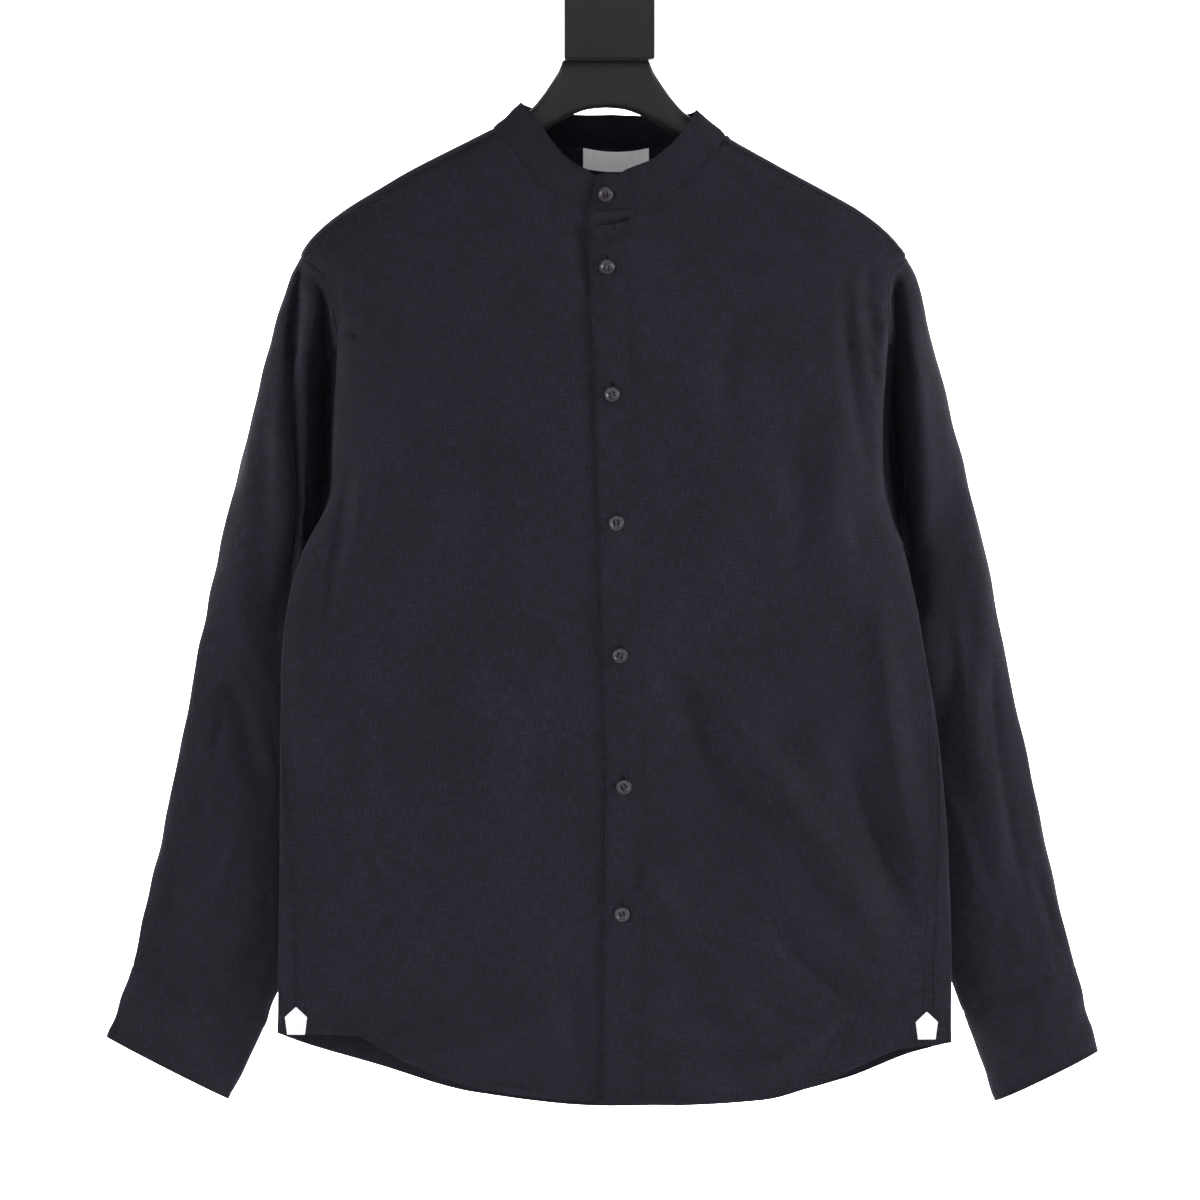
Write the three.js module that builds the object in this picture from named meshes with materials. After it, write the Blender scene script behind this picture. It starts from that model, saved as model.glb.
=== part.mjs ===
// A long-sleeved shirt with a standing band collar, hung on a display hanger.
// Millimetres, +Z up. The shirt's front faces -Y and its centre back faces +Y.
// The wearer's left is at +X. The origin is the inner crown of the hanger's hook.
// Each panel is a thin wall laid on one shared torso form, or on a sleeve form,
// and neighbours stop a small gap apart at their seams.

import * as THREE from 'three';

// Cloth and seams
const clothWall = 1.5;
const seamGap = 0.3;
const foldRadius = 3;
const lapWidth = 14;
const lapRise = clothWall + 0.4;
const lapBlend = 55;
const foldEnds = 0.3;
const normalStep = 0.6;
const seamTopGap = 0.6;

// Torso heights
const hemLevel = -897;
const hemFadeTop = -760;
const armpitHeight = -508;
const armholeTop = -288;
const neckFront = -255;
const neckBack = -197;
const labelTop = -199.5;

// Neck: how far its base reaches to each side, and how round its back is
const neckSides = { '-1': 93, 1: 90 };
const neckBackCurve = 2.5;

// Grid sizes
const loopCount = 24;
const yokeFrontStep = 1;
const yokeBackStep = 3;
const frontColumns = 12;
const neckColumns = 12;
const bodyRows = 11;

// Collar, cuffs, buttons, label and gussets
const collarHeight = 30.5;
const collarFoot = 0.9;
const collarLapBlend = 40;
const collarCorner = 12;
const collarRows = 3;
const lapShares = [-1, -0.8, -0.4, 0, 0.6];
const cuffLap = 0.16;
const cuffStart = 0.66;
const cuffButtonWind = 1.125;
const cuffRows = 2;
const cuffLapBlend = 0.14;
const cuffExtraColumns = 4;
const buttonRadius = 5.8;
const buttonThickness = 2.2;
const buttonHoleRadius = 0.8;
const buttonHoleOffset = 1.5;
const buttonHoleSides = 6;
const buttonClearance = 0.35;
const buttonHeights = [-298.7, -397, -496, -598, -700, -799];
const collarButtonRise = 13;
const labelWidth = 52;
const labelDepth = 16;
const labelSag = 3;
const labelWall = 1;
const labelClearance = 1.1;
const labelCentre = 4;
const gussetFoot = 15.2;
const gussetSpread = 19.2;
const gussetShoulder = 0.64;
const gussetDepth = 22.5;
const gussetWall = 1.2;
const gussetPlaces = { '-1': [-245, -893.5], 1: [245.5, -898.5] };

// Hanger
const hangerCentre = -4;
const blockCentre = -1.2;
const blockWidth = 71;
const blockTop = -60;
const blockBottom = -134.2;
const blockThickness = 24;
const blockCorner = 4;
const blockBevel = 1.5;
const hookWire = 5;
const hookRadius = 22.5;
const armTip = 218;
const armClearance = 3.6;
const armSides = 14;
const armLeastDepth = 8;
const hookTurnStart = 250;
const hookTurnEnd = -20;
const hookTurnStep = 15;
const hookStemHeights = [0.3, 6, 11];
const hookSteps = 44;

// A table's rows as objects with named columns
function table(columns, ...rows) {
  const names = columns.split(' ');
  return rows.map((row) => Object.fromEntries(row.map((value, index) => [names[index], value])));
}

// Outline of the torso seen from the front: how far it reaches to each side at each height
const outline = table(
  'height right left',
  [-184.5, 88, 80],
  [-188.8, 95, 86],
  [-196.6, 110, 95],
  [-204.4, 125.6, 108.4],
  [-220, 156, 136.5],
  [-235.6, 182.5, 165.4],
  [-251.2, 207.5, 192.7],
  [-266.8, 227, 213],
  [-278, 237, 223.5],
  [-288, 242, 230],
  [-300, 232, 225],
  [-320, 221, 219],
  [-350, 213, 216],
  [-430, 216, 211],
  [-466, 217, 212],
  [-521, 241, 229],
  [-552, 250, 236],
  [-604, 256.6, 245.7],
  [-672, 257.5, 255.8],
  [-758, 258, 262.9],
  [-844, 259.3, 265.2],
  [-960, 260, 264.4],
);

// Depth of the torso: centre front, centre back and side fold, and how lens-like its two halves are
const depths = table(
  'height front back side crownFront crownBack',
  [-184.5, 20, 36, 0, 0.85, 0.85],
  [-200, 26, 44, 0, 0.85, 0.85],
  [-230, 33, 47, 0, 0.85, 0.85],
  [-260, 41, 48, -2, 0.8, 0.8],
  [-300, 50, 48, -5, 0.65, 0.65],
  [-350, 57, 48, -9, 0.55, 0.6],
  [-420, 61, 46, -12, 0.55, 0.65],
  [-480, 60, 42, -14, 0.65, 1.2],
  [-521, 56, 39, -16, 0.85, 1.8],
  [-560, 50, 35, -17, 1.1, 2],
  [-620, 42, 29, -16, 1.35, 2],
  [-700, 34, 23, -14, 1.5, 1.8],
  [-800, 27, 17, -10, 1.5, 1.6],
  [-960, 20, 11, -6, 1.5, 1.5],
);

// Line of the buttons, which wanders a little as the shirt hangs
const buttonLine = table(
  'height x',
  [-184.5, -5],
  [-242, -4.7],
  [-299, -3.1],
  [-397, 0.8],
  [-496, 3.9],
  [-598, 7],
  [-700, 10],
  [-799, 8.6],
  [-960, 6.5],
);

// Angles round the torso from the centre front, for the seams that run down it
const sideSeam = table(
  'height angle',
  [-508, 93],
  [-607, 88],
  [-700, 78],
  [-760, 74],
  [-861, 70],
  [-960, 70],
);
const shoulderSeam = table('height angle', [-184.5, 60], [-200, 63], [-230, 68], [-260, 73], [-292, 80]);
const armholeFront = table(
  'height angle',
  [-288, 90],
  [-291.7, 80],
  [-302.7, 76],
  [-320, 79],
  [-343, 87],
  [-369.5, 93],
  [-426, 96],
  [-475, 95],
  [-508, 93],
);
const armholeBack = table(
  'height angle',
  [-288, 90],
  [-291.7, 99],
  [-302.7, 107],
  [-320, 113],
  [-343, 117],
  [-398, 120],
  [-453, 117],
  [-493, 103],
  [-508, 93],
);

// Hem heights by how far across the torso they lie, from the wearer's right side fold to the left
const frontHem = table(
  'across height',
  [-1, -893],
  [-0.78, -894],
  [-0.66, -908],
  [-0.47, -930],
  [-0.3, -939],
  [0, -946.5],
  [0.2, -948],
  [0.45, -944],
  [0.61, -932],
  [0.73, -918],
  [0.85, -905],
  [1, -900],
);
const backHem = table(
  'across height',
  [-1, -893],
  [-0.92, -901],
  [-0.7, -918],
  [-0.41, -940],
  [0, -951],
  [0.41, -946],
  [0.69, -929],
  [0.88, -909],
  [1, -900],
);

// Soft folds of the torso: a line across it, the fold's width and how far it stands out
const frontFolds = table(
  'x1 z1 x2 z2 width depth',
  [206, -360, 150, -560, 26, 5],
  [-206, -350, -160, -540, 24, 5],
  [70, -700, 225, -860, 30, 4],
  [130, -640, 240, -740, 24, 3],
  [-120, -560, -60, -900, 32, 4],
  [-190, -640, -215, -880, 22, 3],
  [60, -330, 90, -600, 34, 3],
);
const backFolds = table(
  'x1 z1 x2 z2 width depth',
  [-150, -340, -120, -860, 34, 5],
  [-60, -360, -40, -820, 30, 4],
  [40, -350, 70, -900, 36, 5],
  [150, -340, 130, -780, 30, 4],
  [-200, -620, -120, -880, 26, 3],
);

// Sleeve form: its outer and inner edge seen from the front, and its depth from front to back
const sleeveRight = table(
  't outerX outerZ innerX innerZ depth middle tilt',
  [0, 242, -288, 222, -508, 34, 12, 0],
  [0.06, 249, -302, 228, -520, 32, 20, 6],
  [0.13, 257, -324, 222, -538, 35, 25, 8],
  [0.21, 268, -360, 217, -558, 38, 29, 8],
  [0.3, 280.5, -408, 214, -582, 37, 32, 8],
  [0.4, 294.8, -464, 212, -612, 34, 34, 6],
  [0.5, 308, -520, 212, -645, 32, 34, 8],
  [0.6, 321, -583, 213, -682, 29, 32, 9],
  [0.7, 333, -648, 217, -722, 26, 28, 9],
  [0.8, 346, -714, 228, -766, 22, 24, 8],
  [0.9, 359.6, -778, 246, -822, 17, 18, 6],
  [1, 374, -841, 269, -886, 13, 12, 4],
);
const sleeveLeft = table(
  't outerX outerZ innerX innerZ depth middle tilt',
  [0, 230, -288, 218, -508, 34, 12, 0],
  [0.06, 237, -301, 226, -520, 31, 20, 6],
  [0.13, 245, -324, 220, -538, 34, 25, 8],
  [0.21, 253.5, -360, 212, -558, 38, 29, 8],
  [0.3, 266.8, -408, 208, -582, 37, 32, 8],
  [0.4, 280, -464, 205, -612, 34, 34, 6],
  [0.5, 293, -520, 205, -645, 33, 34, 8],
  [0.6, 306, -583, 208, -682, 31, 33, 9],
  [0.7, 319, -648, 214, -722, 29, 30, 9],
  [0.8, 333, -714, 229, -764, 26, 27, 8],
  [0.9, 347.8, -778, 250, -815, 23, 22, 6],
  [1, 363, -841, 276, -879, 20, 17, 4],
);
// Valleys in the front of a sleeve, seen from the front: where each runs, how wide and how deep it is
const valleysRight = [
  table(
    'height x width depth',
    [-320, 226, 4, 0],
    [-340, 226, 6, 7],
    [-370, 227, 8, 17],
    [-443, 228, 9, 19],
    [-490, 231, 8, 12],
    [-530, 238, 8, 0],
  ),
  table(
    'height x width depth',
    [-288, 240, 4, 0],
    [-312, 244, 5, 4],
    [-345, 248, 7, 8],
    [-403, 250, 8, 10],
    [-483, 252, 9, 8],
    [-580, 258, 10, 0],
  ),
];
const valleysLeft = [
  table(
    'height x width depth',
    [-300, 224, 4, 0],
    [-322, 225, 6, 6],
    [-350, 226, 8, 17],
    [-403, 227, 10, 21],
    [-460, 227, 12, 20],
    [-505, 231, 10, 11],
    [-560, 240, 9, 0],
  ),
];
const valleyStart = 0.03;
const valleyBlend = 0.08;
const valleyFront = 0.3;

const sleeveStations = [
  ...[0, 0.02, 0.05, 0.09, 0.14, 0.2, 0.27, 0.35],
  ...[0.43, 0.51, 0.6, 0.69, 0.78, 0.87, 0.94, 1],
];
const sleeveCountStep = 0.2;
const sleeveAlongStep = 0.004;
const normalBlend = 0.05;
const sleeveDrawIn = 0.22;
const sleeveBlendTop = 0.3;
const sleeveBlendUnder = 0.12;

// Cuff foot: the two lower corners seen from the front
const cuffFeet = table(
  'side outerX outerZ innerX innerZ depth middle tilt',
  [-1, 394.5, -896.5, 299, -945.5, 12, 10, 2],
  [1, 381, -908, 300.5, -947.5, 21, 16, 2],
);
const [cuffFootRight, cuffFootLeft] = cuffFeet;

// Heights where the shoulder seam, the front neckline and the yoke share a point, from the armhole up
const shoulderStations = [-281, -268, neckFront, neckFront + 0.3, -250, -242, -228, -214, -201];

// Front neckline of each side: its height by the distance from its centre
const necklines = {
  '-1': table(
    'across height',
    [14, -255],
    [18, -251],
    [33, -244.9],
    [47, -236.3],
    [63.9, -218],
    [73, -204.5],
    [88.3, -187.6],
  ),
  1: table(
    'across height',
    [14, -255],
    [22.7, -250.5],
    [36.7, -245],
    [53.7, -237.5],
    [67.7, -227],
    [81.7, -213],
    [94.7, -192.3],
  ),
};

// Where the collar leans over the neck and how far, by the turn round the neck from the centre front
const collarForm = table(
  'turn heading right left',
  [0, 0, 12, 12],
  [12, 34, 22, 22],
  [28, 66, 36, 36],
  [45, 76, 43, 43],
  [70, 82, 47, 47],
  [90, 90, 48, 50],
  [112, 110, 49, 54],
  [140, 142, 47, 52],
  [180, 180, 44, 44],
);

// Hanger arms by distance from the hanger's centre line
const armRows = table(
  'across top bottom thickness squareness',
  [0, -134.6, -173, 12, 0.45],
  [33, -134.6, -180.5, 12, 0.45],
  [37, -143, -183, 12, 0.5],
  [42, -151, -186, 12, 0.6],
  [50, -162.5, -191.5, 12, 0.7],
  [60, -174, -198, 12, 0.8],
  [80, -189, -211, 12, 0.85],
  [100, -204, -222, 12, 0.85],
  [120, -214.5, -234, 13, 0.85],
  [140, -222, -246, 14, 0.85],
  [170, -230, -262, 16, 0.85],
  [200, -250, -279, 19, 0.9],
  [213, -262, -286, 17, 0.9],
  [218, -270, -282, 9, 1],
);
const armStations = [0, 12, 24, 33, 37, 42, 50, 60, 80, 100, 120, 145, 170, 190, 203, 213, armTip];

// Materials
const linen = { color: 0x25242c, roughness: 0.92, metalness: 0 };
const whiteCloth = { color: 0xe6e7ea, roughness: 0.9, metalness: 0 };
const buttonPlastic = { color: 0x2b2530, roughness: 0.35, metalness: 0 };
const hangerPlastic = { color: 0x262626, roughness: 0.5, metalness: 0 };
const hookSteel = { color: 0x8d8f92, roughness: 0.3, metalness: 1 };

const shirt = new THREE.Group();

const radians = (degrees) => (degrees * Math.PI) / 180;
const degreesOf = (angle) => (angle * 180) / Math.PI;
const clamp = (value, low, high) => Math.min(high, Math.max(low, value));
const mix = (from, to, share) => from + (to - from) * share;

function smooth(share) {
  const held = clamp(share, 0, 1);
  return held * held * (3 - 2 * held);
}

// Smooth reading of a table between its rows, with no overshoot
function read(rows, key, at, column) {
  const last = rows.length - 1;
  const direction = Math.sign(rows[last][key] - rows[0][key]);
  let row = 0;
  while (row < last - 1 && (at - rows[row + 1][key]) * direction > 0) row += 1;
  const slope = (index) => {
    const start = clamp(index, 0, last - 1);
    return (rows[start + 1][column] - rows[start][column]) / (rows[start + 1][key] - rows[start][key]);
  };
  const tangent = (index) => {
    const before = slope(index - 1);
    const after = slope(index);
    return before * after <= 0 ? 0 : (2 * before * after) / (before + after);
  };
  const span = rows[row + 1][key] - rows[row][key];
  const share = clamp((at - rows[row][key]) / span, 0, 1);
  const rest = 1 - share;
  return (
    (1 + 2 * share) * rest * rest * rows[row][column] +
    share * rest * rest * span * tangent(row) +
    share * share * (3 - 2 * share) * rows[row + 1][column] -
    share * share * rest * span * tangent(row + 1)
  );
}

// Closed mesh from vertices and triangles, turned so that its faces point out
function closedGeometry(points, triangles) {
  let volume = 0;
  for (const [a, b, c] of triangles) {
    volume += points[a].dot(points[b].clone().cross(points[c])) / 6;
  }
  const faces = volume < 0 ? triangles.map(([a, b, c]) => [a, c, b]) : triangles;
  const geometry = new THREE.BufferGeometry();
  const numbers = points.flatMap((point) => point.toArray());
  geometry.setAttribute('position', new THREE.Float32BufferAttribute(numbers, 3));
  geometry.setIndex(faces.flat());
  geometry.computeVertexNormals();
  return geometry;
}

function addPiece(name, geometry, look) {
  const piece = new THREE.Mesh(geometry, new THREE.MeshStandardMaterial(look));
  piece.name = name;
  shirt.add(piece);
  return piece;
}

// A wall of cloth from a grid of places, each an outer point and its outward normal.
// An open edge is drawn in by half the seam gap, so that two neighbours stop a gap apart.
function clothGeometry(grid, { wall = clothWall, around = false, drawIn = true } = {}) {
  const columns = grid.length;
  const rows = grid[0].length;
  const outer = grid.map((column) => column.map((place) => place.point.clone()));
  const pull = (from, towards) => {
    const step = towards.clone().sub(from).normalize();
    return from.clone().addScaledVector(step, seamGap / 2);
  };
  if (drawIn) {
    for (let i = 0; i < columns; i += 1) {
      outer[i][0] = pull(outer[i][0], outer[i][1]);
      outer[i][rows - 1] = pull(outer[i][rows - 1], outer[i][rows - 2]);
    }
    for (let j = 0; j < rows && !around; j += 1) {
      outer[0][j] = pull(outer[0][j], outer[1][j]);
      outer[columns - 1][j] = pull(outer[columns - 1][j], outer[columns - 2][j]);
    }
  }
  const points = [];
  outer.forEach((column) => points.push(...column));
  outer.forEach((column, i) => {
    column.forEach((point, j) => points.push(point.clone().addScaledVector(grid[i][j].normal, -wall)));
  });
  const offset = columns * rows;
  const at = (i, j) => (i % columns) * rows + j;
  const triangles = [];
  const quad = (a, b, c, d) => triangles.push([a, b, c], [a, c, d]);
  const lastColumn = around ? columns : columns - 1;
  for (let i = 0; i < lastColumn; i += 1) {
    for (let j = 0; j < rows - 1; j += 1) {
      const corners = [at(i, j), at(i + 1, j), at(i + 1, j + 1), at(i, j + 1)];
      quad(...corners);
      quad(...corners.map((corner) => corner + offset).reverse());
    }
    quad(at(i, 0), at(i, 0) + offset, at(i + 1, 0) + offset, at(i + 1, 0));
    const top = rows - 1;
    quad(at(i, top), at(i + 1, top), at(i + 1, top) + offset, at(i, top) + offset);
  }
  for (let j = 0; j < rows - 1 && !around; j += 1) {
    quad(at(0, j), at(0, j + 1), at(0, j + 1) + offset, at(0, j) + offset);
    const end = columns - 1;
    quad(at(end, j), at(end, j) + offset, at(end, j + 1) + offset, at(end, j + 1));
  }
  return closedGeometry(points, triangles);
}

// How far the torso reaches at a height, in the direction given by a sine round it
function reachAt(height, sine) {
  const right = read(outline, 'height', height, 'right');
  const left = read(outline, 'height', height, 'left');
  return (left + right) / 2 + ((left - right) / 2) * sine;
}

// Distance that the soft folds push the torso's surface out
function foldRise(folds, x, height) {
  let rise = 0;
  for (const fold of folds) {
    const alongX = fold.x2 - fold.x1;
    const alongZ = fold.z2 - fold.z1;
    const length = Math.hypot(alongX, alongZ);
    const share = ((x - fold.x1) * alongX + (height - fold.z1) * alongZ) / (length * length);
    const away = ((x - fold.x1) * alongZ - (height - fold.z1) * alongX) / length;
    const ends = smooth(share / foldEnds) * smooth((1 - share) / foldEnds);
    rise += fold.depth * ends * Math.exp(-((away / fold.width) ** 2) * 2);
  }
  return rise;
}

// Point of the torso's outer surface. The angle turns from the centre front to the wearer's left.
function torso(angle, height) {
  const sine = Math.sin(radians(angle));
  const cosine = Math.cos(radians(angle));
  const reach = reachAt(height, sine);
  const side = read(depths, 'height', height, 'side');
  const facing = cosine >= 0 ? 'front' : 'back';
  const middle = read(depths, 'height', height, facing);
  const full = facing === 'front' ? middle + side : middle - side;
  const inset = clamp(((1 - Math.abs(sine)) * reach) / foldRadius, 0, 1);
  const tip = foldRadius * Math.sqrt(1 - (1 - inset) ** 2);
  const power = read(depths, 'height', height, facing === 'front' ? 'crownFront' : 'crownBack');
  const crown = Math.abs(cosine) ** power;
  const x = reach * sine;
  const fold = foldRise(facing === 'front' ? frontFolds : backFolds, x, height) * Math.abs(cosine);
  const depth = tip + (full - foldRadius) * crown + fold;
  return new THREE.Vector3(x, facing === 'front' ? side - depth : side + depth, height);
}

function torsoPlace(angle, height, lift = 0) {
  const round = torso(angle + normalStep, height).sub(torso(angle - normalStep, height));
  const up = torso(angle, height + normalStep).sub(torso(angle, height - normalStep));
  const normal = round.cross(up).normalize();
  return { point: torso(angle, height).addScaledVector(normal, lift), normal };
}

// Angle on the torso's front, or back, for a distance across it
function angleAcross(x, height, facing = 'front') {
  let sine = 0;
  for (let pass = 0; pass < 6; pass += 1) sine = clamp(x / reachAt(height, sine), -1, 1);
  const angle = degreesOf(Math.asin(sine));
  return facing === 'front' ? angle : 180 - angle;
}

// Height of a hem that fades out into level rows further up
function rowHeight(level, angle) {
  const across = Math.sin(radians(angle));
  const hem = read(Math.cos(radians(angle)) >= 0 ? frontHem : backHem, 'across', across, 'height');
  const fade = smooth((hemFadeTop - level) / (hemFadeTop - hemLevel));
  return level + (hem - hemLevel) * fade;
}

// The armhole's loop, counted from its top, down its front edge and up its back edge
function loopPlace(side, count) {
  const turn = (count / loopCount) * 360;
  const middle = (armholeTop + armpitHeight) / 2;
  const height = middle + ((armholeTop - armpitHeight) / 2) * Math.cos(radians(turn));
  const edge = turn <= 180 ? armholeFront : armholeBack;
  const angle = side * read(edge, 'height', height, 'angle');
  return { height, angle };
}

// Height where the torso's outline reaches a distance to one side
function ridgeHeight(side, reach) {
  let low = armholeTop;
  let high = outline[0].height;
  for (let pass = 0; pass < 30; pass += 1) {
    const middle = (low + high) / 2;
    if (reachAt(middle, side) > reach) low = middle;
    else high = middle;
  }
  return (low + high) / 2;
}

const neckRidges = { '-1': ridgeHeight(-1, neckSides[-1]), 1: ridgeHeight(1, neckSides[1]) };
const neckCentre = read(buttonLine, 'height', neckFront, 'x');

// Neckline round the neck: turn 0 is the centre front, 90 the wearer's left, 180 the centre back
function neckPlace(turn) {
  const sine = Math.sin(radians(turn));
  const side = sine >= 0 ? 1 : -1;
  const across = Math.abs(sine);
  if (Math.cos(radians(turn)) < 0) {
    const height = mix(neckBack, neckRidges[side], across ** neckBackCurve);
    return { height, angle: angleAcross(side * neckSides[side] * across, height, 'back') };
  }
  const x = mix(neckCentre, side * neckSides[side], across);
  const height = read(necklines[side], 'across', Math.abs(x - neckCentre), 'height');
  return { height, angle: angleAcross(x, height) };
}

// Turn round the neck where the front neckline is at a height
function neckTurn(side, height) {
  let low = 0;
  let high = 90;
  for (let pass = 0; pass < 40; pass += 1) {
    const middle = (low + high) / 2;
    if (neckPlace(side * middle).height < height) low = middle;
    else high = middle;
  }
  return (low + high) / 2;
}

// Height where a shoulder's front seam runs into the neckline
function seamTop(side) {
  let low = shoulderStations[shoulderStations.length - 1];
  let high = neckRidges[side];
  for (let pass = 0; pass < 40; pass += 1) {
    const middle = (low + high) / 2;
    const neckAngle = Math.abs(neckPlace(side * neckTurn(side, middle)).angle);
    if (neckAngle < read(shoulderSeam, 'height', middle, 'angle')) low = middle;
    else high = middle;
  }
  return (low + high) / 2;
}

const seamTops = { '-1': seamTop(-1), 1: seamTop(1) };

function seamPlace(side, height) {
  return { height, angle: side * read(shoulderSeam, 'height', height, 'angle') };
}

// The wearer's left front lies on the right one near the centre
function lapLift(x, height) {
  const edge = read(buttonLine, 'height', height, 'x') + lapWidth;
  return lapRise * (1 - smooth((x - edge) / lapBlend));
}

function bodyLevels() {
  const levels = [];
  for (let row = 0; row < bodyRows; row += 1) levels.push(mix(hemLevel, armpitHeight, row / bodyRows));
  return levels;
}

// One front panel: rows from the hem to the top of the shoulder seam, columns from centre to side
function frontPanel(side) {
  const rows = [];
  for (const level of bodyLevels()) {
    rows.push({ level, end: side * read(sideSeam, 'height', level, 'angle'), hem: true });
  }
  for (let count = loopCount / 2; count >= yokeFrontStep; count -= 1) {
    const place = loopPlace(side, count);
    rows.push({ level: place.height, end: place.angle });
  }
  for (const height of shoulderStations) rows.push({ level: height, end: seamPlace(side, height).angle });
  const top = seamTops[side] - seamTopGap;
  rows.push({ level: top, end: seamPlace(side, top).angle });
  const grid = [];
  for (let column = 0; column <= frontColumns; column += 1) {
    grid.push(
      rows.map(({ level, end, hem }) => {
        const lapX = read(buttonLine, 'height', level, 'x') - side * lapWidth;
        const onNeck = neckPlace(side * neckTurn(side, level)).angle;
        const start = level <= neckFront ? angleAcross(lapX, level) : onNeck;
        const angle = mix(start, end, column / frontColumns);
        const height = hem ? rowHeight(level, angle) : level;
        const lift = side > 0 ? lapLift(torso(angle, height).x, height) : 0;
        return torsoPlace(angle, height, lift);
      }),
    );
  }
  return clothGeometry(grid);
}

// The back, from side seam to side seam, up to the yoke
function backPanel(columns) {
  const rows = [];
  for (const level of bodyLevels()) {
    const angle = read(sideSeam, 'height', level, 'angle');
    rows.push({ level, start: angle, end: 360 - angle, hem: true });
  }
  for (let count = loopCount / 2; count <= loopCount - yokeBackStep; count += 1) {
    const angle = loopPlace(1, count).angle;
    rows.push({ level: loopPlace(1, count).height, start: angle, end: 360 - angle });
  }
  const grid = [];
  for (let column = 0; column <= columns; column += 1) {
    grid.push(
      rows.map(({ level, start, end, hem }) => {
        const angle = mix(start, end, column / columns);
        return torsoPlace(angle, hem ? rowHeight(level, angle) : level);
      }),
    );
  }
  return clothGeometry(grid);
}

// Neck places of the yoke, from the wearer's left seam round the back to the right seam
function yokeNeckTurns() {
  const start = neckTurn(1, seamTops[1]);
  const end = 360 - neckTurn(-1, seamTops[-1]);
  const turns = [];
  for (let column = 0; column <= neckColumns; column += 1) {
    turns.push(mix(start, end, column / neckColumns));
  }
  return turns;
}

const roundBack = ({ height, angle }) => ({ height, angle: angle < 0 ? angle + 360 : angle });

// Upper edge of the yoke: left shoulder seam, back of the neck, right shoulder seam
function yokeTopEdge() {
  const places = [loopPlace(1, yokeFrontStep)];
  for (const height of shoulderStations) places.push(seamPlace(1, height));
  for (const turn of yokeNeckTurns()) places.push(roundBack(neckPlace(turn)));
  for (const height of [...shoulderStations].reverse()) places.push(roundBack(seamPlace(-1, height)));
  places.push(roundBack(loopPlace(-1, yokeFrontStep)));
  return places;
}

// Armhole edge of the yoke, from its back seam over the shoulder to its front seam
function yokeArmEdge(side) {
  const places = [];
  for (let count = loopCount - yokeBackStep; count <= loopCount + yokeFrontStep; count += 1) {
    const place = loopPlace(side, count % loopCount);
    places.push(side > 0 ? place : roundBack(place));
    if (count < loopCount + yokeFrontStep) places.push(null);
  }
  return places;
}

// The yoke, laid out between its four edges on the torso's surface
function yokePanel() {
  const top = yokeTopEdge();
  const leftArm = yokeArmEdge(1);
  const rightArm = yokeArmEdge(-1);
  const columns = top.length - 1;
  const rows = leftArm.length - 1;
  const halfway = (places, row) => {
    if (places[row]) return places[row];
    const before = places[row - 1];
    const after = places[row + 1];
    return { height: (before.height + after.height) / 2, angle: (before.angle + after.angle) / 2 };
  };
  const grid = [];
  for (let column = 0; column <= columns; column += 1) {
    const across = column / columns;
    const bottom = {
      height: leftArm[0].height,
      angle: mix(leftArm[0].angle, rightArm[0].angle, across),
    };
    const places = [];
    for (let row = 0; row <= rows; row += 1) {
      const up = row / rows;
      const blend = (key) => {
        const left = halfway(leftArm, row)[key];
        const right = halfway(rightArm, row)[key];
        const corners = mix(
          mix(leftArm[0][key], rightArm[0][key], across),
          mix(leftArm[rows][key], rightArm[rows][key], across),
          up,
        );
        return mix(left, right, across) + mix(bottom[key], top[column][key], up) - corners;
      };
      places.push(torsoPlace(blend('angle'), blend('height')));
    }
    grid.push(places);
  }
  [[leftArm, 0], [rightArm, columns]].forEach(([places, column]) => {
    places.forEach((place, row) => {
      if (!place) grid[column][row] = chordPlace(grid[column][row - 1], grid[column][row + 1]);
    });
  });
  return clothGeometry(grid);
}

// A place halfway along the straight line between two others
function chordPlace(before, after) {
  const point = before.point.clone().add(after.point).multiplyScalar(0.5);
  const normal = before.normal.clone().add(after.normal).multiplyScalar(0.5);
  return { point, normal };
}

// Ring of the sleeve form: edges seen from the front, and depth from front to back
function ringPoint(ring, side, turn) {
  const cosine = Math.cos(radians(turn));
  const sine = Math.sin(radians(turn));
  const x = mix(ring.innerX, ring.outerX, (1 + cosine) / 2);
  const z = mix(ring.innerZ, ring.outerZ, (1 + cosine) / 2);
  return new THREE.Vector3(side * x, ring.middle - ring.tilt * cosine - ring.depth * sine, z);
}

function sleeveRing(rows, t) {
  const columns = ['outerX', 'outerZ', 'innerX', 'innerZ', 'depth', 'middle', 'tilt'];
  return Object.fromEntries(columns.map((column) => [column, read(rows, 't', t, column)]));
}

// How far the valleys push a sleeve's front back, at a point seen from the front
function valleyDepth(side, turn, t, x, height) {
  const front = smooth(Math.sin(radians(turn)) / valleyFront);
  const facing = front * smooth((t - valleyStart) / valleyBlend);
  let depth = 0;
  for (const valley of side > 0 ? valleysLeft : valleysRight) {
    const centre = read(valley, 'height', height, 'x');
    const width = read(valley, 'height', height, 'width');
    depth += read(valley, 'height', height, 'depth') * Math.exp(-(((Math.abs(x) - centre) / width) ** 2));
  }
  return depth * facing;
}

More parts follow.
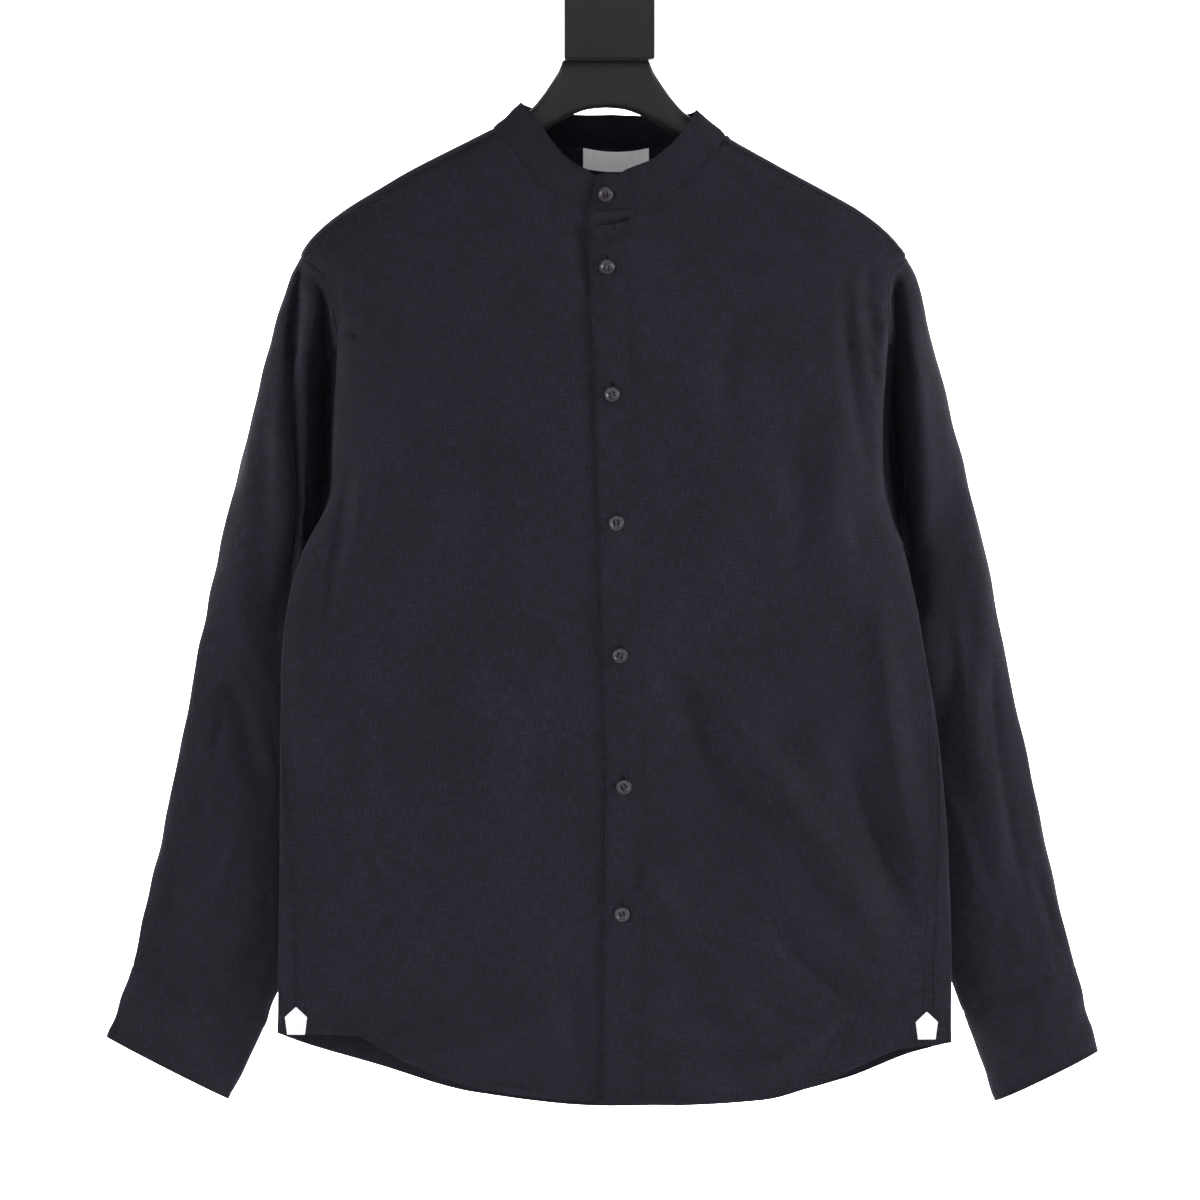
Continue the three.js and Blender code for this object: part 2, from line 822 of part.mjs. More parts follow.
// Sleeve surface: it starts on the armhole's loop and eases into the sleeve form
function sleevePoint(rows, side, count, t) {
  const turn = (count / loopCount) * 360;
  const free = ringPoint(sleeveRing(rows, t), side, turn);
  const first = ringPoint(sleeveRing(rows, 0), side, turn);
  const low = Math.floor(count);
  const ends = [low, low + 1].map((whole) => {
    const place = loopPlace(side, (whole + loopCount) % loopCount);
    return torso(place.angle + side * sleeveDrawIn * Math.sin(radians(turn)), place.height);
  });
  const seam = ends[0].lerp(ends[1], count - low);
  const underarm = (1 - Math.cos(radians(turn))) / 2;
  const hold = 1 - smooth(t / mix(sleeveBlendTop, sleeveBlendUnder, underarm));
  const point = free.add(seam.sub(first).multiplyScalar(hold));
  point.y += valleyDepth(side, turn, t, point.x, point.z);
  return point;
}

function surfaceNormal(pointAt, u, v, stepU, stepV, inside) {
  const across = pointAt(u + stepU, v).sub(pointAt(u - stepU, v));
  const along = pointAt(u, v + stepV).sub(pointAt(u, v - stepV));
  const normal = across.cross(along).normalize();
  const outward = pointAt(u, v).sub(inside);
  return outward.dot(normal) < 0 ? normal.negate() : normal;
}

function sleevePanel(rows, side) {
  const pointAt = (count, t) => sleevePoint(rows, side, count, clamp(t, 0, 1));
  const grid = [];
  for (let count = 0; count < loopCount; count += 1) {
    grid.push(
      sleeveStations.map((t) => {
        const point = pointAt(count, t);
        const place = loopPlace(side, count);
        const atSeam = torsoPlace(place.angle, place.height).normal;
        const across = pointAt(count + sleeveCountStep, t).sub(pointAt(count - sleeveCountStep, t));
        const along = pointAt(count, t + sleeveAlongStep).sub(pointAt(count, t - sleeveAlongStep));
        const own = across.cross(along).normalize().multiplyScalar(side);
        return { point, normal: atSeam.lerp(own, smooth(t / normalBlend)).normalize() };
      }),
    );
  }
  return clothGeometry(grid, { around: true });
}

// Place on a cuff: a strip wound once round the wrist, its last stretch lapped over its first at the back
function cuffPlace(rows, foot, side, wind, down) {
  const head = sleeveRing(rows, 1);
  const pointAt = (around, along) => {
    const turn = (cuffStart + around) * 360;
    return ringPoint(head, side, turn).lerp(ringPoint(foot, side, turn), along);
  };
  const inside = pointAt(0, down).add(pointAt(0.5, down)).multiplyScalar(0.5);
  const normal = surfaceNormal(pointAt, wind, down, 0.004, 0.02, inside);
  const lift = lapRise * smooth((wind - 1 + cuffLapBlend) / cuffLapBlend);
  return { point: pointAt(wind, down).addScaledVector(normal, lift), normal };
}

function cuffPanel(rows, foot, side) {
  const columns = loopCount + cuffExtraColumns;
  const grid = [];
  for (let column = 0; column <= columns; column += 1) {
    const wind = (column / columns) * (1 + cuffLap);
    const places = [];
    for (let row = 0; row <= cuffRows; row += 1) {
      places.push(cuffPlace(rows, foot, side, wind, row / cuffRows));
    }
    grid.push(places);
  }
  return clothGeometry(grid);
}

// Collar surface, by the turn round the neck and the height up the band
function collarPlace(turn, rise, lift) {
  const place = neckPlace(turn);
  const base = torsoPlace(place.angle, place.height, lift).point;
  const sine = Math.sin(radians(turn));
  const cosine = Math.cos(radians(turn));
  const halfTurn = degreesOf(Math.acos(cosine));
  const leanRight = read(collarForm, 'turn', halfTurn, 'right');
  const leanLeft = read(collarForm, 'turn', halfTurn, 'left');
  const lean = radians(mix(leanRight, leanLeft, (1 + sine) / 2));
  const heading = radians(read(collarForm, 'turn', halfTurn, 'heading'));
  const inward = new THREE.Vector3(-Math.sign(sine) * Math.sin(heading), Math.cos(heading), 0);
  const upward = new THREE.Vector3(0, 0, rise * Math.cos(lean));
  return base.addScaledVector(inward, rise * Math.sin(lean)).add(upward);
}

const lapTurn = degreesOf(Math.asin(lapWidth / (neckSides[1] - neckCentre)));

// Lap of the collar band: raised at the wearer's left end, which lies on top
function collarLift(wind) {
  return lapRise * (1 - smooth((wind - lapTurn) / collarLapBlend));
}

function collarPoint(wind, rise) {
  return collarPlace(wind, rise, collarLift(wind));
}

function collarBand() {
  const neckHeights = shoulderStations.filter((height) => height > neckFront);
  const fronts = (side) => neckHeights.map((height) => neckTurn(side, height));
  const lapWinds = lapShares.map((share) => share * lapTurn);
  const winds = [
    ...lapWinds,
    ...fronts(1),
    ...yokeNeckTurns(),
    ...fronts(-1).reverse().map((turn) => 360 - turn),
    ...[...lapWinds].reverse().map((turn) => 360 - turn),
  ];
  const cornerTurn = degreesOf(collarCorner / neckSides[1]);
  const heightAt = (wind) => {
    const fromEnd = Math.min(wind + lapTurn, 360 + lapTurn - wind) / cornerTurn;
    const drop = 1 - Math.sqrt(1 - (1 - clamp(fromEnd, 0, 1)) ** 2);
    return collarHeight - collarCorner * drop;
  };
  const axis = new THREE.Vector3(neckCentre, 0, neckBack);
  const grid = winds.map((wind) => {
    const places = [];
    for (let row = 0; row <= collarRows; row += 1) {
      const rise = mix(collarFoot, heightAt(wind), row / collarRows);
      const point = collarPoint(wind, rise);
      const inside = new THREE.Vector3(axis.x, axis.y, point.z);
      places.push({ point, normal: surfaceNormal(collarPoint, wind, rise, 0.5, 0.5, inside) });
    }
    return places;
  });
  return clothGeometry(grid);
}

// A flat disc with four holes, its back on the cloth and its axis along the cloth's normal
function buttonGeometry() {
  const disc = new THREE.Shape();
  disc.absarc(0, 0, buttonRadius, 0, 2 * Math.PI, false);
  for (const [x, y] of [[1, 1], [-1, 1], [-1, -1], [1, -1]]) {
    const rim = [];
    for (let corner = 0; corner < buttonHoleSides; corner += 1) {
      const turn = (corner / buttonHoleSides) * 2 * Math.PI;
      const across = x * buttonHoleOffset + buttonHoleRadius * Math.cos(turn);
      rim.push(new THREE.Vector2(across, y * buttonHoleOffset + buttonHoleRadius * Math.sin(turn)));
    }
    disc.holes.push(new THREE.Path(rim));
  }
  return new THREE.ExtrudeGeometry(disc, { depth: buttonThickness, bevelEnabled: false, curveSegments: 8 });
}

function addButton(name, place) {
  const button = addPiece(name, buttonGeometry(), buttonPlastic);
  button.position.copy(place.point).addScaledVector(place.normal, buttonClearance);
  button.quaternion.setFromUnitVectors(new THREE.Vector3(0, 0, 1), place.normal);
}

function addButtons() {
  const rise = collarButtonRise;
  const inside = new THREE.Vector3(neckCentre, 0, neckFront + rise);
  const normal = surfaceNormal(collarPoint, 0, rise, 3, 3, inside);
  addButton('button_collar', { point: collarPoint(0, rise), normal });
  buttonHeights.forEach((height, index) => {
    const x = read(buttonLine, 'height', height, 'x');
    addButton(`button_front_${index + 1}`, torsoPlace(angleAcross(x, height), height, lapLift(x, height)));
  });
  addButton('button_cuff_right', cuffPlace(sleeveRight, cuffFootRight, -1, cuffButtonWind, 0.5));
  addButton('button_cuff_left', cuffPlace(sleeveLeft, cuffFootLeft, 1, cuffButtonWind, 0.5));
}

// Label inside the back of the neck, its upper edge sagging between its sewn corners
function neckLabel() {
  const grid = [];
  const columns = 8;
  for (let column = 0; column <= columns; column += 1) {
    const across = (column / columns) * 2 - 1;
    const x = labelCentre + (across * labelWidth) / 2;
    const places = [0, 0.5, 1].map((up) => {
      const height = labelTop - labelDepth * (1 - up) - labelSag * (1 - across * across);
      return torsoPlace(angleAcross(x, height, 'back'), height, -clothWall - labelClearance);
    });
    grid.push(places);
  }
  return clothGeometry(grid, { wall: labelWall, drawIn: false });
}

// Five-sided patch over the foot of a side seam, pointing up
function gussetGeometry(side) {
  const [seamX, foot] = gussetPlaces[side];
  const half = gussetFoot / 2;
  const wide = gussetSpread / 2;
  const shoulder = gussetDepth * gussetShoulder;
  const corners = [[-half, 0], [half, 0], [wide, shoulder], [0, gussetDepth], [-wide, shoulder]];
  const centre = [0, gussetDepth / 2];
  const points = [];
  for (const lift of [seamGap, seamGap + gussetWall]) {
    for (const [x, up] of [...corners, centre]) {
      const height = foot + up;
      points.push(torsoPlace(angleAcross(seamX + x, height), height, lift).point);
    }
  }
  const count = corners.length;
  const triangles = [];
  for (let corner = 0; corner < count; corner += 1) {
    const next = (corner + 1) % count;
    const over = count + 1;
    triangles.push([corner, count, next], [corner + over, next + over, count + over]);
    triangles.push([corner, next, next + over], [corner, next + over, corner + over]);
  }
  return closedGeometry(points, triangles);
}

// Hanger arms: rounded sections from tip to tip, their top under the shoulders' cloth
function armTop(x, across) {
  const top = read(armRows, 'across', across, 'top');
  const side = x < 0 ? -1 : 1;
  if (Math.abs(x) <= neckSides[side]) return top;
  return Math.min(top, ridgeHeight(side, Math.abs(x)) - armClearance);
}

function hangerArms() {
  const stations = [...armStations.slice(1).reverse().map((value) => -value), ...armStations];
  const rings = stations.map((offset) => {
    const across = Math.abs(offset);
    const x = hangerCentre + offset;
    const top = armTop(x, across);
    const bottom = Math.min(read(armRows, 'across', across, 'bottom'), top - armLeastDepth);
    const thickness = read(armRows, 'across', across, 'thickness');
    const squareness = read(armRows, 'across', across, 'squareness');
    const ring = [];
    for (let corner = 0; corner < armSides; corner += 1) {
      const turn = (corner / armSides) * 2 * Math.PI;
      const round = (value) => Math.sign(value) * Math.abs(value) ** squareness;
      const y = thickness * round(Math.cos(turn));
      const z = (top + bottom) / 2 + ((top - bottom) / 2) * round(Math.sin(turn));
      ring.push(new THREE.Vector3(x, y, z));
    }
    return ring;
  });
  const points = rings.flat();
  const triangles = [];
  for (let ring = 0; ring < rings.length - 1; ring += 1) {
    for (let corner = 0; corner < armSides; corner += 1) {
      const next = (corner + 1) % armSides;
      const [a, b] = [ring * armSides + corner, ring * armSides + next];
      triangles.push([a, b, b + armSides], [a, b + armSides, a + armSides]);
    }
  }
  const lastRing = (rings.length - 1) * armSides;
  for (let corner = 1; corner < armSides - 1; corner += 1) {
    triangles.push([0, corner + 1, corner], [lastRing, lastRing + corner, lastRing + corner + 1]);
  }
  return closedGeometry(points, triangles);
}

function roundedRectangle(left, bottom, width, height, corner) {
  const shape = new THREE.Shape();
  const right = left + width;
  const top = bottom + height;
  shape.moveTo(left + corner, bottom);
  shape.lineTo(right - corner, bottom);
  shape.absarc(right - corner, bottom + corner, corner, -Math.PI / 2, 0, false);
  shape.lineTo(right, top - corner);
  shape.absarc(right - corner, top - corner, corner, 0, Math.PI / 2, false);
  shape.lineTo(left + corner, top);
  shape.absarc(left + corner, top - corner, corner, Math.PI / 2, Math.PI, false);
  shape.lineTo(left, bottom + corner);
  shape.absarc(left + corner, bottom + corner, corner, Math.PI, 1.5 * Math.PI, false);
  return shape;
}

function addHanger() {
  addPiece('hanger_arms', hangerArms(), hangerPlastic);
  const inset = blockBevel;
  const outlineShape = roundedRectangle(
    blockCentre - blockWidth / 2 + inset,
    blockBottom + inset,
    blockWidth - 2 * inset,
    blockTop - blockBottom - 2 * inset,
    blockCorner - inset,
  );
  const block = new THREE.ExtrudeGeometry(outlineShape, {
    depth: blockThickness - 2 * inset,
    bevelThickness: inset,
    bevelSize: inset,
    bevelSegments: 2,
    curveSegments: 3,
  });
  const blockPiece = addPiece('hanger_block', block, hangerPlastic);
  blockPiece.rotation.x = Math.PI / 2;
  blockPiece.position.y = blockThickness / 2 - inset;
  addPiece('hanger_hook', hangerHook(), hookSteel);
}

// Steel hook: a stem that bends into a round crook over the origin
function hangerHook() {
  const centreHeight = -hookRadius + hookWire / 2;
  const path = hookStemHeights.map((height) => new THREE.Vector3(0, 0, blockTop + height));
  for (let turn = hookTurnStart; turn >= hookTurnEnd; turn -= hookTurnStep) {
    const angle = radians(turn);
    const height = centreHeight + hookRadius * Math.sin(angle);
    path.push(new THREE.Vector3(hookRadius * Math.cos(angle), 0, height));
  }
  const wire = new THREE.Shape();
  wire.absarc(0, 0, hookWire / 2, 0, 2 * Math.PI, false);
  const extrudePath = new THREE.CatmullRomCurve3(path);
  return new THREE.ExtrudeGeometry(wire, { steps: hookSteps, curveSegments: 4, extrudePath });
}

function addShirt() {
  addPiece('front_right', frontPanel(-1), linen);
  addPiece('front_left', frontPanel(1), linen);
  addPiece('back', backPanel(yokeTopEdge().length - 1), linen);
  addPiece('yoke', yokePanel(), linen);
  addPiece('collar_band', collarBand(), linen);
  addPiece('sleeve_right', sleevePanel(sleeveRight, -1), linen);
  addPiece('sleeve_left', sleevePanel(sleeveLeft, 1), linen);
  addPiece('cuff_right', cuffPanel(sleeveRight, cuffFootRight, -1), linen);
  addPiece('cuff_left', cuffPanel(sleeveLeft, cuffFootLeft, 1), linen);
  addPiece('gusset_right', gussetGeometry(-1), whiteCloth);
  addPiece('gusset_left', gussetGeometry(1), whiteCloth);
  addPiece('label', neckLabel(), whiteCloth);
  addButtons();
}

addShirt();
addHanger();

export default shirt;
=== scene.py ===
"""A long-sleeved linen shirt with a standing band collar, hung on a display hanger.

Forms are worked out in millimetres, +Z up, with the shirt's front towards -Y and the wearer's
left at +X, and turned into metres where a mesh is made. The cloth pieces are thin shells on the
same torso and sleeve forms as the solids, with their creases, seams and stitches added.
"""

import math

import bmesh
import bpy
import numpy as np
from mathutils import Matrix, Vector


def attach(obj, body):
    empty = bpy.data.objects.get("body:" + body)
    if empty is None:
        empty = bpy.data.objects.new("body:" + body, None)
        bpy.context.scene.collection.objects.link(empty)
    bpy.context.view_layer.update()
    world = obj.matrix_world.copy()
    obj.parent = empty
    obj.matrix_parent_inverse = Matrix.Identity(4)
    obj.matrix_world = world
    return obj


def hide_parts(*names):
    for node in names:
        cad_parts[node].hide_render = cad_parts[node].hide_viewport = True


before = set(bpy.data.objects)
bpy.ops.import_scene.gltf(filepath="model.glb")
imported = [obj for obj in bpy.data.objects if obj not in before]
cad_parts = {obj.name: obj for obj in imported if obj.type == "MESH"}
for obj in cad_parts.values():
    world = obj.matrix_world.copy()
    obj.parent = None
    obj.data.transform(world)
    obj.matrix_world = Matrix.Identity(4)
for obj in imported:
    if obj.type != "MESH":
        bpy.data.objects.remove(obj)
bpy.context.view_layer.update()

# Cloth and seams
CLOTH_WALL = 0.9
COLLAR_WALL = 1.3
LABEL_WALL = 0.5
LAP_WIDTH = 14
LAP_RISE = 1.9
LAP_BLEND = 55
FOLD_RADIUS = 3
FOLD_END = 0.3
CREASE_GAIN = 2.4
TORSO_UNEVEN = 0.6
SLEEVE_UNEVEN = 0.7
COLLAR_UNEVEN = 0.3

# Distances of folds and rows of stitches from a seam or an edge
EDGE_STITCH = 1.7
SEAM_FOLD = 6
SEAM_STITCH = 6.2
HEM_FOLD = 8
HEM_DIP = 6.4
HEM_STITCH = 6.6
PLACKET_FOLD = 30
PLACKET_STITCH = 1.6
COLLAR_STITCH = 2.2
COLLAR_DIP = 3
CUFF_EDGE_STITCH = 1.8
CUFF_STITCH = 5.8
CUFF_DIP = 5.5

# Torso heights
HEM_LEVEL = -897
HEM_FADE_TOP = -760
ARMPIT_HEIGHT = -508
ARMHOLE_TOP = -288
NECK_FRONT = -255
NECK_BACK = -197
LABEL_TOP = -199.5

# Armhole loop, counted from its top
LOOP_COUNT = 24
YOKE_FRONT_STEP = 1
YOKE_BACK_STEP = 3

# Collar, cuffs, buttons, label and patches
COLLAR_HEIGHT = 30.5
COLLAR_FOOT = 0.2
COLLAR_CORNER = 12
COLLAR_LAP_BLEND = 40
NECK_STEP = 1
CUFF_LAP = 0.16
CUFF_LAP_BLEND = 0.14
CUFF_START = 0.66
CUFF_BUTTON_WIND = 1.125
BUTTON_HEIGHTS = (-298.7, -397, -496, -598, -700, -799)
COLLAR_BUTTON_RISE = 13
HOLE_LENGTH = 15
HOLE_WIDTH = 2.4
BUTTON_CLEARANCE = 0.35
BUTTON_HOLES = ((1, 1), (-1, 1), (-1, -1), (1, -1))
BUTTON_HOLE_REACH = 1.4
BUTTON_TURNS = (0.1, -0.25, 0.4, 0.12, -0.3, 0.75, 0.2)
LABEL_WIDTH = 52
LABEL_DEPTH = 16
LABEL_SAG = 3
LABEL_CENTRE = 4
LABEL_OFFSET = 1.6
PATCH_HEIGHT = 21.3
PATCH_SHOULDER = 0.64
PATCH_HALVES = (6.9, 8.7, 0.4)
PATCH_LIFT = 1.2

# Hanger
HANGER_CENTRE = -4
BLOCK_CENTRE = -1.2
BLOCK_WIDTH = 71
BLOCK_TOP = -60
BLOCK_BOTTOM = -134.2
BLOCK_THICKNESS = 24
BLOCK_ROUNDING = 1.8
HOOK_WIRE = 5
HOOK_RADIUS = 22.5
ARM_TIP = 218
ARM_CLEARANCE = 3.6

# Camera
MM_PER_PIXEL = 0.78
CAMERA_DISTANCE = 5.0
CAMERA_X = -0.0086
CAMERA_Z = -0.5554
IMAGE_PIXELS = 1200
SENSOR_WIDTH = 36

# Studio: a round paper floor that curves up into a low wall
FLOOR_LEVEL = -1300
STUDIO_RADIUS = 7.0
STUDIO_COVE = 1.2
STUDIO_HEIGHT = 4.5
WORLD_STRENGTH = 0.27

# Area lights: name, place and aim in metres, size and power
LIGHTS = (
    ("key_light", (3.1, -0.9, 0.6), (0, 0, -0.55), 0.6, 88),
    ("fill_light", (-2.9, -1.9, 0.3), (0, 0, -0.55), 0.9, 44),
    ("front_light", (0.0, -3.6, 0.5), (0, 0, -0.55), 1.2, 7),
    ("backdrop_light", (0.0, 2.4, 2.8), (0, 6.6, -0.7), 2.5, 1500),
)


def table(columns, *rows):
    """Named columns of numbers."""
    return dict(zip(columns.split(), np.array(rows, dtype=float).T))


OUTLINE = table(
    "height right left",
    (-184.5, 88, 80),
    (-188.8, 95, 86),
    (-196.6, 110, 95),
    (-204.4, 125.6, 108.4),
    (-220, 156, 136.5),
    (-235.6, 182.5, 165.4),
    (-251.2, 207.5, 192.7),
    (-266.8, 227, 213),
    (-278, 237, 223.5),
    (-288, 242, 230),
    (-300, 232, 225),
    (-320, 221, 219),
    (-350, 213, 216),
    (-430, 216, 211),
    (-466, 217, 212),
    (-521, 241, 229),
    (-552, 250, 236),
    (-604, 256.6, 245.7),
    (-672, 257.5, 255.8),
    (-758, 258, 262.9),
    (-844, 259.3, 265.2),
    (-960, 260, 264.4),
)
DEPTHS = table(
    "height front back side crown_front crown_back",
    (-184.5, 20, 36, 0, 0.85, 0.85),
    (-200, 26, 44, 0, 0.85, 0.85),
    (-230, 33, 47, 0, 0.85, 0.85),
    (-260, 41, 48, -2, 0.8, 0.8),
    (-300, 50, 48, -5, 0.65, 0.65),
    (-350, 57, 48, -9, 0.55, 0.6),
    (-420, 61, 46, -12, 0.55, 0.65),
    (-480, 60, 42, -14, 0.65, 1.2),
    (-521, 56, 39, -16, 0.85, 1.8),
    (-560, 50, 35, -17, 1.1, 2),
    (-620, 42, 29, -16, 1.35, 2),
    (-700, 34, 23, -14, 1.5, 1.8),
    (-800, 27, 17, -10, 1.5, 1.6),
    (-960, 20, 11, -6, 1.5, 1.5),
)
BUTTON_LINE = table(
    "height x",
    (-184.5, -5),
    (-242, -4.7),
    (-299, -3.1),
    (-397, 0.8),
    (-496, 3.9),
    (-598, 7),
    (-700, 10),
    (-799, 8.6),
    (-960, 6.5),
)
SIDE_SEAM = table("height angle", (-508, 93), (-607, 88), (-700, 78), (-760, 74), (-861, 70), (-960, 70))
SHOULDER_SEAM = table("height angle", (-184.5, 60), (-200, 63), (-230, 68), (-260, 73), (-292, 80))
ARMHOLE_FRONT = table(
    "height angle",
    (-288, 90),
    (-291.7, 80),
    (-302.7, 76),
    (-320, 79),
    (-343, 87),
    (-369.5, 93),
    (-426, 96),
    (-475, 95),
    (-508, 93),
)
ARMHOLE_BACK = table(
    "height angle",
    (-288, 90),
    (-291.7, 99),
    (-302.7, 107),
    (-320, 113),
    (-343, 117),
    (-398, 120),
    (-453, 117),
    (-493, 103),
    (-508, 93),
)
FRONT_HEM = table(
    "across height",
    (-1, -893),
    (-0.78, -894),
    (-0.66, -908),
    (-0.47, -930),
    (-0.3, -939),
    (0, -946.5),
    (0.2, -948),
    (0.45, -944),
    (0.61, -932),
    (0.73, -918),
    (0.85, -905),
    (1, -900),
)
BACK_HEM = table(
    "across height",
    (-1, -893),
    (-0.92, -901),
    (-0.7, -918),
    (-0.41, -940),
    (0, -951),
    (0.41, -946),
    (0.69, -929),
    (0.88, -909),
    (1, -900),
)

# Large soft folds that the solids have too
FRONT_FOLDS = (
    (206, -360, 150, -560, 26, 5),
    (-206, -350, -160, -540, 24, 5),
    (70, -700, 225, -860, 30, 4),
    (130, -640, 240, -740, 24, 3),
    (-120, -560, -60, -900, 32, 4),
    (-190, -640, -215, -880, 22, 3),
    (60, -330, 90, -600, 34, 3),
)
BACK_FOLDS = (
    (-150, -340, -120, -860, 34, 5),
    (-60, -360, -40, -820, 30, 4),
    (40, -350, 70, -900, 36, 5),
    (150, -340, 130, -780, 30, 4),
    (-200, -620, -120, -880, 26, 3),
)

# Creases placed: a line from x1 z1 to x2 z2 with a sideways bow, its width on either
# side, and how far it stands out or goes in
FRONT_CREASES = (
    (78, -639, 226, -852, -10, 13, 17, 4.2),
    (175, -664, 231, -820, -8, 15, 12, -4.0),
    (207, -545, 242, -775, 6, 9, 12, 2.8),
    (29, -597, 116, -736, -6, 15, 12, -2.8),
    (22, -754, 61, -824, 4, 8, 11, 1.8),
    (63, -850, 130, -905, -5, 9, 12, 2.0),
    (118, -800, 205, -880, 5, 11, 10, -2.4),
    (196, -322, 217, -330, 1, 2.2, 3.4, 1.6),
    (194, -340, 216, -349, -1, 2.6, 3.2, -1.5),
    (198, -358, 214, -370, 1, 2.0, 3.0, 1.4),
    (196, -376, 212, -386, -1, 2.4, 3.6, -1.2),
    (200, -398, 211, -414, 1, 2.4, 3.0, 1.1),
    (184, -300, 204, -470, 8, 6, 9, -2.2),
    (-190, -330, -208, -338, 1, 2.2, 3.2, 1.2),
    (-192, -352, -212, -346, 1, 2.4, 3.0, -1.2),
    (-198, -372, -213, -382, -1, 2.0, 3.0, 1.0),
    (-200, -400, -214, -408, 1, 2.6, 3.4, -1.0),
    (-192, -440, -218, -560, -6, 6, 10, 2.2),
    (-204, -456, -230, -600, -4, 5, 8, -1.8),
    (40, -905, 104, -924, 4, 6, 8, 1.0),
    (5, -872, 29, -874, 1, 2.2, 3.5, -0.9),
    (5, -911, 60, -901, 3, 2.4, 4, -1.0),
    (98, -913, 152, -905, 5, 8, 10, 1.3),
    (160, -912, 196, -880, -4, 7, 6, -1.0),
    (-33, -830, -15, -945, 4, 14, 9, -1.7),
    (-62, -905, -92, -930, -4, 8, 6, 0.9),
    (-238, -560, -232, -720, 5, 9, 13, 1.3),
    (-205, -600, -216, -800, -6, 11, 9, -1.1),
    (-176, -915, -110, -895, 5, 2.6, 5, 1.1),
    (-170, -860, -118, -790, -6, 10, 8, 1.2),
    (-142, -880, -88, -812, 5, 9, 7, -1.0),
    (-100, -925, -48, -938, 3, 5, 7, 1.1),
    (-216, -860, -186, -905, 4, 6, 5, -0.8),
    (-26, -262, -14, -330, -3, 9, 6, -1.8),
    (-16, -267.5, 22, -258, 1.5, 1.6, 2.6, -2.6),
    (-15, -273, 30, -262.5, 1.5, 2.2, 5, 1.5),
    (-14, -279, 18, -274, -1, 2, 4, -0.9),
    (97, -328, 90, -430, 5, 12, 9, -1.1),
    (136, -420, 146, -560, -5, 13, 10, -1.3),
    (172, -400, 190, -570, 6, 12, 9, 1.0),
    (-150, -300, -178, -430, 5, 12, 9, 1.1),
    (-96, -420, -128, -600, -6, 16, 12, -1.0),
    (196, -282, 203, -420, -3, 5, 7, -1.5),
    (188, -300, 196, -380, 2, 6, 4, 0.9),
    (-215, -330, -224, -420, 2, 4, 5, -0.9),
    (30, -690, 60, -664, 3, 4, 6, -0.6),
    (24, -652, 48, -640, -2, 3, 5, -0.5),
    (-160, -845, -60, -905, 8, 5, 8, 1.1),
    (-128, -822, -40, -868, -6, 4, 7, -0.9),
    (-96, -893, -28, -862, 5, 3, 6, 0.9),
    (-180, -893, -132, -868, 3, 3, 5, -0.8),
    (28, -852, 96, -868, -4, 3, 6, 0.9),
    (16, -886, 88, -893, 3, 3, 5, 0.9),
    (60, -918, 120, -902, -3, 3, 6, -0.8),
    (130, -868, 180, -892, 4, 4, 6, 0.9),
    (18, -780, 60, -800, -3, 3, 6, 0.8),
    (20, -728, 52, -716, 3, 3, 5, -0.7),
    (-208, -700, -160, -790, 7, 5, 9, 1.0),
)
BACK_CREASES = (
    (-118, -330, -92, -560, 6, 12, 16, 2.2),
    (-96, -345, -74, -640, -8, 9, 12, -1.8),
    (118, -332, 84, -600, -7, 13, 15, 2.4),
    (90, -350, 66, -520, 5, 8, 11, -1.6),
    (10, -420, -22, -760, 9, 14, 18, 2.0),
    (-20, -560, 26, -880, -7, 12, 12, -1.7),
    (-210, -560, -120, -760, 12, 14, 18, 2.8),
    (-226, -640, -150, -820, 10, 10, 13, -2.2),
    (214, -540, 132, -730, -12, 14, 16, 2.6),
    (232, -620, 160, -800, -9, 9, 14, -2.0),
    (-70, -780, -40, -930, 5, 11, 14, 1.8),
    (60, -760, 96, -925, -6, 10, 15, 1.9),
    (-160, -850, -112, -925, 5, 7, 9, -1.3),
    (150, -840, 180, -905, -5, 8, 7, 1.2),
    (-30, -880, 40, -905, 4, 3, 5, -1.0),
    (-110, -890, -60, -878, -3, 3, 5, 0.9),
    (-186, -400, -172, -520, 5, 8, 10, 1.6),
    (184, -390, 168, -510, -5, 7, 11, 1.5),
)

SLEEVE_COLUMNS = ("outer_x", "outer_z", "inner_x", "inner_z", "depth", "middle", "tilt")
SLEEVE_RIGHT = table(
    "t outer_x outer_z inner_x inner_z depth middle tilt",
    (0, 242, -288, 222, -508, 34, 12, 0),
    (0.06, 249, -302, 228, -520, 32, 20, 6),
    (0.13, 257, -324, 222, -538, 35, 25, 8),
    (0.21, 268, -360, 217, -558, 38, 29, 8),
    (0.3, 280.5, -408, 214, -582, 37, 32, 8),
    (0.4, 294.8, -464, 212, -612, 34, 34, 6),
    (0.5, 308, -520, 212, -645, 32, 34, 8),
    (0.6, 321, -583, 213, -682, 29, 32, 9),
    (0.7, 333, -648, 217, -722, 26, 28, 9),
    (0.8, 346, -714, 228, -766, 22, 24, 8),
    (0.9, 359.6, -778, 246, -822, 17, 18, 6),
    (1, 374, -841, 269, -886, 13, 12, 4),
)
